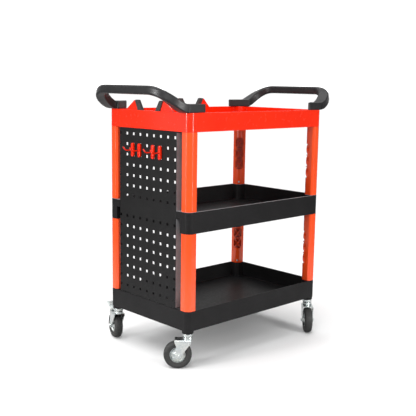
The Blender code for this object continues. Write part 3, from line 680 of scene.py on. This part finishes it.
# ---- posts
def lattice_pockets():
    """Four triangular pockets to a cell, between crossed ribs on the post's inner side."""
    half_w, half_h = LATTICE_HALF_WIDTH, (LATTICE_CELL - LATTICE_RIB) / 2
    slant = hypot(half_w, half_h)
    rise = LATTICE_RIB / 2 * slant / half_w
    run = LATTICE_RIB / 2 * slant / half_h
    reach, drop = (half_h - rise) * half_w / half_h, (half_w - run) * half_h / half_w
    top = [(0, rise), (reach, half_h), (-reach, half_h)]
    side = [(run, 0), (half_w, -drop), (half_w, drop)]
    across = Vector((-1, 1, 0)).normalized()
    pockets = []
    for cell in range(LATTICE_CELLS):
        origin = INWARD * LATTICE_FLOOR
        origin.z = LATTICE_START + (cell + 0.5) * LATTICE_CELL
        lay = Matrix.Translation(origin) @ Matrix((
            (across.x, 0, INWARD.x, 0), (across.y, 0, INWARD.y, 0), (0, 1, 0, 0), (0, 0, 0, 1)))
        for outline in (top, side):
            for sign in (1, -1):
                shape = rounded([(sign * x, sign * y) for x, y in outline], 0.0012, 3)
                pocket = plate("pocket", shape, 0, POST_SIZE, 0.0004, 1)
                pockets.append(moved(pocket, lay))
    return merge("lattice", pockets)


def post_outline():
    """Square with a moulded corner outwards, a round one inwards and chamfered ones between."""
    half, flat = POST_SIZE / 2, POST_SIZE / 2 - POST_CHAMFER
    outward = Vector((-half, -half))
    corners = [(-flat, half), (-half, flat), outward, (flat, -half), (half, -flat), (half, half)]
    plain = rounded(corners, [0.002, 0.002, 0, 0.002, 0.002, CORNER_R], 4)
    place = plain.index(outward)
    moulding = [outward + Vector(insets) for insets in corner_profile()]
    return plain[:place] + moulding + plain[place + 1:]


def post_shape(length):
    """Ribbed post with a sunk seat for its screw."""
    shape = cut(plate("post", post_outline(), 0, length, 0.0006, 3), lattice_pockets())
    rise = UP * SCREW_RISE
    return cut(shape, cylinder("seat", SCREW_HEAD_R + 0.0006, INWARD * (POST_FACE - SCREW_SEAT) + rise,
                               INWARD * (POST_FACE + 0.01) + rise))


def screw_shape():
    """Pan-head screw with a cross recess, its head outwards along the post's diagonal."""
    dome = arc((0, -0.0032), 0.0056, 90, 48, 6)
    head = turned("screw", [(0, 0.0024)] + [(p.x, p.y) for p in dome[1:]] + [
        (SCREW_HEAD_R, 0.0003), (SCREW_HEAD_R - 0.0003, 0), (0, 0)], 28)
    reach, width, depth = 0.0046, 0.0009, 0.0024
    head = cut(head, join(block("slot", (reach, width, depth), (0, 0, 0.0026)),
                          block("slot", (width, reach, depth), (0, 0, 0.0026))))
    lay = UP.rotation_difference(INWARD).to_matrix().to_4x4()
    spot = INWARD * (POST_FACE - SCREW_SEAT + GAP) + UP * SCREW_RISE
    return moved(head, Matrix.Translation(spot) @ lay)


def posts():
    """Drawn in the trays' red slot, with a material of their own whose paler red is a painted sheen."""
    screw = screw_shape()
    for name, low, high in (("lower", lower_low.z, lower_high.z), ("upper", post_low.z, post_high.z)):
        shape = post_shape(high - low)
        for corner, spot, turn in post_spots():
            lay = Matrix.Translation((spot.x, spot.y, low)) @ Matrix.Rotation(turn, 4, "Z")
            post = finish(copy_of(shape), f"post_{name}_{corner}", "red_plastic", matrix=lay)
            # the posts' paler red: painted sheen
            post.data.materials[0] = POST_SHEEN_PAINTED_PLASTIC
            finish(copy_of(screw), f"post_screw_{name}_{corner}", "zinc_steel", matrix=lay)
        bpy.data.objects.remove(shape)
    bpy.data.objects.remove(screw)


# ---- pegboard panel
def pegboard_panel():
    """Pressed steel pan, open towards the cart, with bent edges and a grid of square holes."""
    half_w, half_h = (panel_high.y - panel_low.y) / 2, (panel_high.z - panel_low.z) / 2
    depth = panel_high.x - panel_low.x
    outer = rectangle(half_w, half_h, 0.0045, 5)
    inner = inset(outer, PANEL_SHEET)
    rings = [level(inset(outer, PANEL_BEND * (1 - sine)), PANEL_BEND * (1 - cosine))
             for sine, cosine in quarter(6)]
    rings += [level(outer, depth), level(inner, depth)]
    inner_bend = PANEL_BEND - PANEL_SHEET
    rings += [level(inset(inner, inner_bend * (1 - sine)), PANEL_SHEET + inner_bend * (1 - cosine))
              for sine, cosine in reversed(quarter(6))]
    panel = loft("panel", rings)
    lowest_row = ROWS_ABOVE + ROWS_BELOW
    middle_z = (panel_high.z + panel_low.z) / 2
    holes = []
    for row in range(lowest_row + 1):
        if row == ROWS_ABOVE:
            continue
        for column in range(HOLE_COLUMNS):
            hole = plate("hole", rectangle(HOLE / 2, HOLE / 2, 0.0016, 3), -0.004, 0.006, 0.0001, 1)
            spot = ((column - (HOLE_COLUMNS - 1) / 2) * PITCH, HOLE_TOP_Z - row * PITCH - middle_z, 0)
            holes.append(shifted(hole, spot))
    panel = cut(panel, merge("holes", holes))
    notches = [block("notch", (NOTCH_LENGTH, 0.006, 0.012), ((i - 1.5) * NOTCH_PITCH, -half_h, 0))
               for i in range(4)]
    panel = cut(panel, merge("notches", notches))
    lay = Matrix.Translation((panel_low.x, MIDDLE_Y, middle_z)) @ ENDWISE
    finish(moved(panel, lay), "pegboard_panel", "black_steel")
    # the side flanges are painted grey: a painted reflection, not the steel's own colour
    panel.data.materials.append(SHEEN_PAINTED_STEEL)
    for face in panel.data.polygons:
        if abs(face.normal.y) > 0.9 and abs(face.center.y - MIDDLE_Y) > half_w - 0.001:
            face.material_index = 1


def hook(number):
    """Moulded peg hook: a rounded body with two pegs, a thin arm and a raised tip."""
    node = f"hook_{number}"
    low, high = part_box(node)
    face_x = panel_low.x - GAP
    y, middle_z = (low.y + high.y) / 2, (low.z + high.z) / 2
    half_w, half_h = (high.y - low.y) / 2, (high.z - low.z) / 2
    body = plate(node, rectangle(half_w, half_h, 0.0055, 8), 0, HOOK_THICK, 0.0016, 4)
    body = join(body, plate("rib", rectangle(0.0022, half_h - 0.006, 0.0020, 6), HOOK_THICK - 0.002,
                            HOOK_THICK + 0.0010, 0.0008, 3))
    body = cut(body, cylinder("dimple", 0.0024, (0, -0.0155, HOOK_THICK - 0.0045),
                              (0, -0.0155, HOOK_THICK + 0.01), 24))
    # its outline becomes Y and up, its thickness points away from the panel
    moved(body, Matrix(((0, 0, -1, face_x), (1, 0, 0, y), (0, 1, 0, middle_z), (0, 0, 0, 1))))
    for side in (-1, 1):
        peg_z = middle_z + side * PITCH / 2
        body = join(body, cylinder("peg", PEG_R, (face_x - 0.003, y, peg_z),
                                   (face_x + 0.007, y, peg_z), 24))
    route = [(-0.004, 0.0), (-0.012, -0.0002), (-0.022, -0.0008), (-0.030, -0.0010),
             (-0.0345, -0.0004), (-0.0380, 0.0016), (-0.0408, 0.0042), (-0.0435, 0.0075),
             (-0.0460, 0.0105)]
    arm = tube("arm", [(face_x + x, y, middle_z + z) for x, z in route], HOOK_ARM_R, 16)
    finish(join(body, arm), node, "red_plastic", smooth_deg=40)


# ---- handles and tool rests
def arm_station(turn):
    """Outer edge, inner edge and lift of a handle's arm, from its foot (0) to its grip (1)."""
    along = sin(pi / 2 * turn) ** ARM_SQUARENESS
    inward = max(0.0, cos(pi / 2 * turn)) ** ARM_SQUARENESS
    foot_x = LENGTH / 2 + ARM_OVERHANG
    outer = Vector((foot_x + (GRIP_OUT_X - foot_x) * along,
                    ARM_OUT_Y + (FOOT_OUT_Y - ARM_OUT_Y) * inward))
    inner = Vector((foot_x + (GRIP_IN_X - foot_x) * along,
                    ARM_IN_Y + (FOOT_OUT_Y - ARM_BASE - ARM_IN_Y) * inward))
    rise = turn ** ARM_HASTE
    return outer, inner, rise * rise * (3 - 2 * rise)


def handle(node, end):
    """Push handle: arms that flare from their feet, sweep out and up, and meet in a grip."""
    foot_z = TOP_RIM + FOOT_HEIGHT / 2 + GAP
    steps, grip_steps = 28, 10
    stations = []
    for i in range(steps + 1):
        outer, inner, lift = arm_station(i / steps)
        stations.append((outer, inner, foot_z + (GRIP_Z - foot_z) * lift, lift))
    for i in range(1, grip_steps + 1):
        share = 1 - i / grip_steps
        stations.append((Vector((GRIP_OUT_X, ARM_OUT_Y * share)), Vector((GRIP_IN_X, ARM_IN_Y * share)),
                         GRIP_Z, 1.0))
    for outer, inner, z, lift in reversed(stations[:-1]):
        stations.append((Vector((outer.x, -outer.y)), Vector((inner.x, -inner.y)), z, lift))
    centres = [Vector((*((outer + inner) / 2), z)) for outer, inner, z, _ in stations]
    total = len(centres) - 1
    rings = []
    for i, (outer, inner, z, lift) in enumerate(stations):
        ahead = (centres[min(i + 1, total)] - centres[max(i - 1, 0)]).normalized()
        across = (outer - inner).to_3d().normalized()
        up = UP if i in (0, total) else across.cross(ahead).normalized()
        if up.z < 0:
            up = -up
        half_h = (FOOT_HEIGHT + (GRIP_HEIGHT - FOOT_HEIGHT) * lift) / 2
        outline = rectangle((outer - inner).length / 2, half_h, 0.0045 + 0.0050 * lift, 7)
        rings.append([centres[i] + across * p.x + up * p.y for p in outline])
    bar = loft(node, rings)
    turn = Matrix.Rotation(0 if end > 0 else pi, 4, "Z")
    finish(moved(bar, Matrix.Translation((0, MIDDLE_Y, 0)) @ turn), node, "handle_plastic",
           smooth_deg=40)


def handle_foot(corner):
    """Wedge under each end of a handle, filling the tray's corner."""
    node = f"handle_foot_{corner}"
    x_side, y_side = CORNERS[corner]
    foot_x = LENGTH / 2 + FOOT_OVERHANG
    outline = rounded([(foot_x, FOOT_IN_Y), (foot_x, FOOT_OUT_Y), (foot_x - FOOT_LENGTH, FOOT_OUT_Y)],
                      [0.0050, 0.0050, 0.0045], 6)
    outline = [Vector((x_side * p.x, y_side * p.y)) for p in outline]
    if x_side * y_side < 0:
        outline.reverse()
    foot = plate(node, outline, TOP_RIM + GAP, TOP_RIM + GAP + FOOT_HEIGHT, 0.0030, 5)
    finish(shifted(foot, (0, MIDDLE_Y, 0)), node, "handle_plastic")


def tool_rest(node, lay, base_half, top_half, notch_half):
    """Upright plate with a V notch, lined by a thicker rubber trim."""
    base_z = TOP_BASE + FLOOR_RISE + RAIL_HEIGHT + GAP
    low_half = notch_half - NOTCH_SLOPE * (REST_TOP - NOTCH_Z)
    right = [(base_half, base_z), (base_half, TOP_RIM), (top_half, REST_TOP),
             (notch_half + TRIM_BAND, REST_TOP), (low_half + TRIM_BAND, NOTCH_Z - TRIM_BAND)]
    radii = [0.0015, 0.012, 0.005, 0.0015, 0.003]
    body = plate(node, rounded(right + mirrored(right), radii + radii[::-1], 5), -REST_THICK / 2,
                 REST_THICK / 2, 0.0009, 3)
    finish(moved(body, lay), node, "red_plastic")
    top = REST_TOP + 0.002
    lift = NOTCH_SLOPE * (top - REST_TOP)
    outer = TRIM_BAND - GAP
    right = [(low_half + outer, NOTCH_Z - outer), (notch_half + outer + lift, top),
             (notch_half + lift, top), (low_half, NOTCH_Z)]
    radii = [0.0025, 0.003, 0.003, 0.005]
    trim = plate(node + "_trim", rounded(right + mirrored(right), radii + radii[::-1], 5),
                 -TRIM_THICK / 2, TRIM_THICK / 2, 0.0016, 4)
    finish(moved(trim, lay), node + "_trim", "rest_rubber")


def tool_rests():
    """One stands along the front end, the other along the right side."""
    end_low, end_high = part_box("end_rest")
    side_low, side_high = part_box("side_rest")
    end_place = Matrix.Translation(((end_low.x + end_high.x) / 2, MIDDLE_Y, 0))
    tool_rest("end_rest", end_place @ Matrix.Rotation(pi / 2, 4, "Z") @ UPRIGHT, *END_REST)
    side_place = Matrix.Translation(((side_low.x + side_high.x) / 2, (side_low.y + side_high.y) / 2, 0))
    tool_rest("side_rest", side_place @ UPRIGHT, *SIDE_REST)


# ---- casters
def caster_spots():
    """Corner, matrix of its swivel frame (+X towards the wheel) and the wheel's place in it."""
    joints = {joint["name"]: joint for joint in frame["joints"]}
    for corner in CORNERS:
        swivel = Vector(joints[f"swivel_{corner}"]["pos_m"])
        wheel = joints[f"wheel_spin_{corner}"]
        turn = atan2(-wheel["axis"][0], wheel["axis"][1])
        trail = (Vector(wheel["pos_m"]).xy - swivel.xy).length
        lay = Matrix.Translation((swivel.x, swivel.y, 0)) @ Matrix.Rotation(turn, 4, "Z")
        yield corner, lay, Vector((trail, 0, wheel["pos_m"][2])), f"brake_{corner}" in joints


def fork_shape(hub, braked):
    """Pressed steel fork: a folded channel trimmed to the legs' outline, with its cup."""
    half, top = FORK_INNER + FORK_SHEET, CROWN_BASE + FORK_SHEET
    right = [(FORK_INNER, CROWN_BASE), (FORK_INNER, 0.02), (half, 0.02), (half, top)]
    channel = rounded(right + mirrored(right), [0.0020, 0, 0, 0.0045, 0.0045, 0, 0, 0.0020], 6)
    body = plate("fork", channel, -0.03, 0.07, 0.00001, 1)
    moved(body, ENDWISE)
    rear_top = top + 0.006 if braked else top + 0.001
    legs = [(-FORK_FRONT, top + 0.006), (-FORK_FRONT, CROWN_BASE - 0.006)]
    legs += list(reversed(arc((hub.x, hub.z), 0.0110, 12, -158, 14)))
    legs += [(0.0400, 0.084), (FORK_REAR, 0.098), (FORK_REAR, rear_top)]
    trim = plate("trim", [Vector(point) for point in reversed(legs)], -0.03, 0.03, 0.00001, 1)
    body = combine(body, moved(trim, UPRIGHT), "INTERSECT")
    cup_top = top + CUP_HEIGHT
    cup = turned("cup", [(0, CROWN_BASE + 0.001), (0.0165, CROWN_BASE + 0.001), (0.0172, top + 0.0012),
                         (0.0176, top + 0.0030), (0.0176, top + 0.0062), (0.0168, top + 0.0080),
                         (0.0150, cup_top - 0.0004), (0.0130, cup_top), (0, cup_top)])
    body = join(body, cup)
    body = cut(body, cylinder("king", KING_BORE_R, (0, 0, 0.09), (0, 0, 0.13)))
    return cut(body, cylinder("bore", AXLE_R + GAP, (hub.x, -0.03, hub.z), (hub.x, 0.03, hub.z)))


def stem_shape():
    """Fixed half of a caster: upper race with a rolled edge, king pin and its riveted end."""
    race = CROWN_BASE + FORK_SHEET + CUP_HEIGHT + GAP
    top = BOSS_BASE - GAP
    return turned("stem", [
        (0, top), (0.0170, top), (0.0182, top - 0.0008), (0.0186, top - 0.0024),
        (0.0186, race + 0.0034), (0.0180, race + 0.0014), (0.0168, race), (0.0042, race),
        (0.0042, CROWN_BASE - GAP), (0.0078, CROWN_BASE - GAP), (0.0076, CROWN_BASE - 0.0014),
        (0.0060, CROWN_BASE - 0.0030), (0.0030, CROWN_BASE - 0.0037), (0, CROWN_BASE - 0.0038)])


def hexagon(name, across, low, high):
    """Hexagon head about Z, with softened corners."""
    corners = [(p.x, p.y) for p in arc((0, 0), across / sqrt(3), 7, 307, 5)]
    return plate(name, rounded(corners, 0.0010, 3), low, high, 0.0006, 3)


def axle_shape():
    """Bolt with a washer and a chamfered hexagon at each end, along Y."""
    outer = FORK_INNER + FORK_SHEET + GAP
    bolt = cylinder("axle", AXLE_R, (0, 0, -outer - 0.0048), (0, 0, outer + 0.0055), 24)
    for turn in (0.0, pi):
        washer = turned("washer", [(0, outer + 0.0010), (0.0076, outer + 0.0010),
                                   (0.0080, outer + 0.0006), (0.0080, outer), (0, outer)], 36)
        flip = Matrix.Rotation(turn, 4, "X")
        bolt = join(bolt, moved(washer, flip))
        bolt = join(bolt, moved(hexagon("hex", 0.0112, outer + 0.0008, outer + 0.0046), flip))
    return moved(bolt, UPRIGHT)


def doubled(upper):
    """A wheel's profile from its upper half."""
    return upper + [(radius, -z) for radius, z in reversed(upper)]


def disc_shape():
    """Pressed wheel centre: hub tube, dished web with radial ribs, and the bed of the tyre."""
    face, half = DISC_R - GAP, 0.0120
    upper = [(face, half), (face - 0.0014, half + 0.0004), (face - 0.0026, half - 0.0008),
             (face - 0.0036, 0.0075), (face - 0.0060, 0.0058), (0.0150, 0.0072), (0.0118, 0.0098),
             (HUB_R, 0.0150), (HUB_R - 0.0006, HUB_HALF - 0.0004), (HUB_R - 0.0014, HUB_HALF),
             (AXLE_R + 0.0004, HUB_HALF)]
    disc = turned("disc", doubled(upper), 64)
    ribs = []
    for i in range(8):
        for side in (-1, 1):
            rib = plate("rib", rectangle(0.0045, 0.0013, 0.0012, 4), 0.0050, 0.0086, 0.0007, 2)
            turn = Matrix.Rotation(2 * pi * i / 8, 4, "Z") @ Matrix.Translation((0.0192, 0, 0))
            flip = Matrix.Rotation(0 if side > 0 else pi, 4, "X")
            ribs.append(moved(rib, flip @ turn))
    return moved(join(disc, merge("ribs", ribs)), UPRIGHT)


def tyre_shape(radius):
    """Solid tyre with rounded shoulders, stepped sidewalls and two thin tread grooves."""
    half = WHEEL_HALF_WIDTH
    side = [(DISC_R + out, half - back) for out, back in (
        (0, 0.0040), (0.0006, 0.0020), (0.0022, 0.0010), (0.0045, 0.0012), (0.0052, 0.0018),
        (0.0060, 0.0010), (0.0095, 0))]
    side += [(radius - 0.0085, half - 0.0004), (radius - 0.0078, half - 0.0012),
             (radius - 0.0070, half - 0.0010)]
    shoulder = [(radius - 0.0075 + 0.0070 * sin(a), half - 0.0090 + 0.0078 * cos(a))
                for a in (0.35, 0.6, 0.85, 1.1, 1.35, 1.57)]
    tread = [(radius, 0.0052), (radius - 0.0007, 0.0048), (radius - 0.0007, 0.0038), (radius, 0.0034)]
    return moved(turned("tyre", doubled(side + shoulder + tread), 96), UPRIGHT)


def pedal_shape():
    """Pressed brake pedal: a bent plate with side flanges and grip ribs, on its cross pin."""
    outline = [(-0.004, 0.0026), (-0.002, 0.0), (0.001, -0.0005), (0.004, 0.0005), (0.007, 0.0020),
               (0.0105, -0.0056), (0.0135, -0.0052), (0.0150, 0.0062), (0.0485, 0.0206),
               (0.0530, 0.0200), (0.0535, 0.0225), (0.0480, 0.0236), (0.0060, 0.0052), (-0.004, 0.0048)]
    radii = [0.0008, 0.001, 0.001, 0.001, 0.001, 0.0008, 0.0008, 0.001, 0.001, 0.0008, 0.0008,
             0.002, 0.002, 0.0008]
    body = plate("pedal", rounded(outline, radii, 4), -0.0178, 0.0178, 0.0006, 2)
    moved(body, UPRIGHT)
    pin = cylinder("pin", PEDAL_PIN_R, (0, -FORK_INNER - 0.0020, 0), (0, FORK_INNER + 0.0020, 0), 24)
    body = join(body, pin)
    slope = atan2(0.0236 - 0.0052, 0.0480 - 0.0060)
    ribs = []
    for along in (0.024, 0.029, 0.034, 0.039):
        rib = plate("rib", rectangle(0.0011, 0.0135, 0.0010, 3), -0.0006, 0.0010, 0.0005, 2)
        lay = Matrix.Translation((0.006, 0, 0.0052)) @ Matrix.Rotation(-slope, 4, "Y")
        ribs.append(moved(rib, lay @ Matrix.Translation((along, 0, 0))))
    return join(body, merge("ribs", ribs))


def casters():
    """Four of the same, two of them with a brake pedal and a longer fork crown."""
    shared = {}
    for corner, lay, hub, braked in caster_spots():
        if not shared:
            shared = {"stem": stem_shape(), "axle": axle_shape(), "disc": disc_shape(),
                      "tyre": tyre_shape(hub.z), "pedal": pedal_shape(),
                      "fork": fork_shape(hub, False), "braked_fork": fork_shape(hub, True)}
        at_hub = lay @ Matrix.Translation(hub)
        fork_body, wheel_body = f"fork_{corner}", f"wheel_{corner}"
        parts = [("stem", "caster_stem", "cart", lay),
                 ("braked_fork" if braked else "fork", "caster_fork", fork_body, lay),
                 ("axle", "caster_axle", fork_body, at_hub), ("disc", "caster_rim", wheel_body, at_hub),
                 ("tyre", "caster_tyre", wheel_body, at_hub)]
        if braked:
            at_pin = lay @ Matrix.Translation((PEDAL_X, 0, PEDAL_Z))
            parts.append(("pedal", "brake_pedal", f"pedal_{corner}", at_pin))
        for shape, node, body, matrix in parts:
            slot = "tyre_rubber" if shape == "tyre" else "zinc_steel"
            finish(copy_of(shared[shape]), f"{node}_{corner}", slot, body, matrix=matrix)
    for solid in shared.values():
        bpy.data.objects.remove(solid)


# ---- stage
def floor():
    """Pale to look at. Round the cart it throws light back up, farther out hardly any."""
    bm = bmesh.new()
    bmesh.ops.create_grid(bm, x_segments=8, y_segments=8, size=60.0)
    ground = from_bmesh("floor", bm)
    n = Nodes("pale_floor")
    pale = n.mix(n.noise(3.0), (0.84, 0.84, 0.84), (0.86, 0.86, 0.86))
    distance = n.calculate("ShaderNodeVectorMath", "LENGTH", n.place)
    thrown_back = n.tint(distance, (0.70, 0.70, 0.70), (0.10, 0.10, 0.10), 0.8, 2.2)
    n.colour(n.mix(n.node("ShaderNodeLightPath", "Is Camera Ray"), thrown_back, pale))
    n.set(Roughness=0.9)
    ground.data.materials.append(n.owner)


def area_light(name, place, target, size_x, size_y, power):
    light = bpy.data.lights.new(name, "AREA")
    light.shape = "RECTANGLE"
    light.size, light.size_y = size_x, size_y
    light.energy = power
    lamp = add_object(name, light, scene.collection)
    lamp.location = place
    lamp.rotation_euler = (Vector(target) - Vector(place)).to_track_quat("-Z", "Y").to_euler()
    lamp.visible_camera = False
    return lamp


def surroundings():
    """White to look at. It lights the cart from the camera's side and from behind, and is
    dim to both sides, where the cart's flat faces are mirrored."""
    n = Nodes("studio", bpy.data.worlds, "Background")
    aim = n.calculate("ShaderNodeVectorMath", "DOT_PRODUCT", n.node("ShaderNodeTexCoord", "Generated"),
                      VIEW_WAY)
    strength = n.node("ShaderNodeLightPath", "Is Camera Ray")
    for start, end, low, high in ((-0.20, -0.45, SIDE_GLOW, FRONT_GLOW), (0.30, 0.55, 0.0, BACK_GLOW)):
        lobe = n.ramp(aim, start, end, low, high)
        lobe.node.interpolation_type = "SMOOTHSTEP"
        strength = n.calculate("ShaderNodeMath", "ADD", strength, lobe)
    n.set(Strength=strength, Color=(1.0, 1.0, 1.0, 1.0))
    scene.world = n.owner


def studio():
    """Soft light from above, a lamp near the front corner and upright strips beside it. The
    sheens light no surface: they only shine in glossy ones."""
    surroundings()
    sun = bpy.data.lights.new("overhead", "SUN")
    sun.energy = 2.5
    sun.angle = radians(60)
    overhead = add_object("overhead", sun, scene.collection)
    overhead.rotation_euler = (radians(-12), radians(-10), 0)
    middle = (0, MIDDLE_Y, 0.50)
    area_light("corner_lamp", (-1.15, -1.10, 1.45), (-0.35, -0.22, 0.75), 0.5, 0.5, 7)
    for name, place, width, power in (("strip_left", (-2.70, 0.28, 1.0), 0.4, 38),
                                      ("strip_right", (0.39, -2.50, 1.0), 0.4, 30),
                                      ("glow_left", (-2.65, 2.15, 1.0), 0.8, 2.5)):
        area_light(name, place, middle, width, 1.9, power)
    for name, place in (("sheen_left", (-2.65, 0.28, 1.3)), ("sheen_right", (0.39, -2.45, 1.3))):
        area_light(name, place, (0, MIDDLE_Y, 1.1), 0.40, 1.3, 60).visible_diffuse = False
    scene.view_settings.view_transform = "Standard"


def camera():
    """Standing off the front left corner, slightly above the top tray, looking a little down."""
    yaw, pitch, roll = radians(CAMERA_YAW), radians(CAMERA_PITCH), radians(CAMERA_ROLL)
    ahead = Vector((cos(pitch) * sin(yaw), cos(pitch) * cos(yaw), -sin(pitch)))
    right = Vector((cos(yaw), -sin(yaw), 0))
    up = right.cross(ahead)
    tilted_right = cos(roll) * right + sin(roll) * up
    tilted_up = cos(roll) * up - sin(roll) * right
    data = bpy.data.cameras.new("camera")
    data.sensor_width, data.lens = SENSOR_WIDTH, CAMERA_LENS
    eye = add_object("camera", data, scene.collection)
    axes = Matrix((tilted_right, tilted_up, -ahead)).transposed().to_4x4()
    place = Vector(CAMERA_PLACE) + Vector((0, MIDDLE_Y, 0))
    eye.matrix_world = Matrix.Translation(place) @ axes
    scene.camera = eye


top_tray()
middle_tray()
bottom_tray()
posts()
pegboard_panel()
for hook_number in (1, 2, 3, 4):
    hook(hook_number)
handle("handle_front", -1)
handle("handle_rear", 1)
for corner_name in CORNERS:
    handle_foot(corner_name)
tool_rests()
casters()
floor()
studio()
camera()
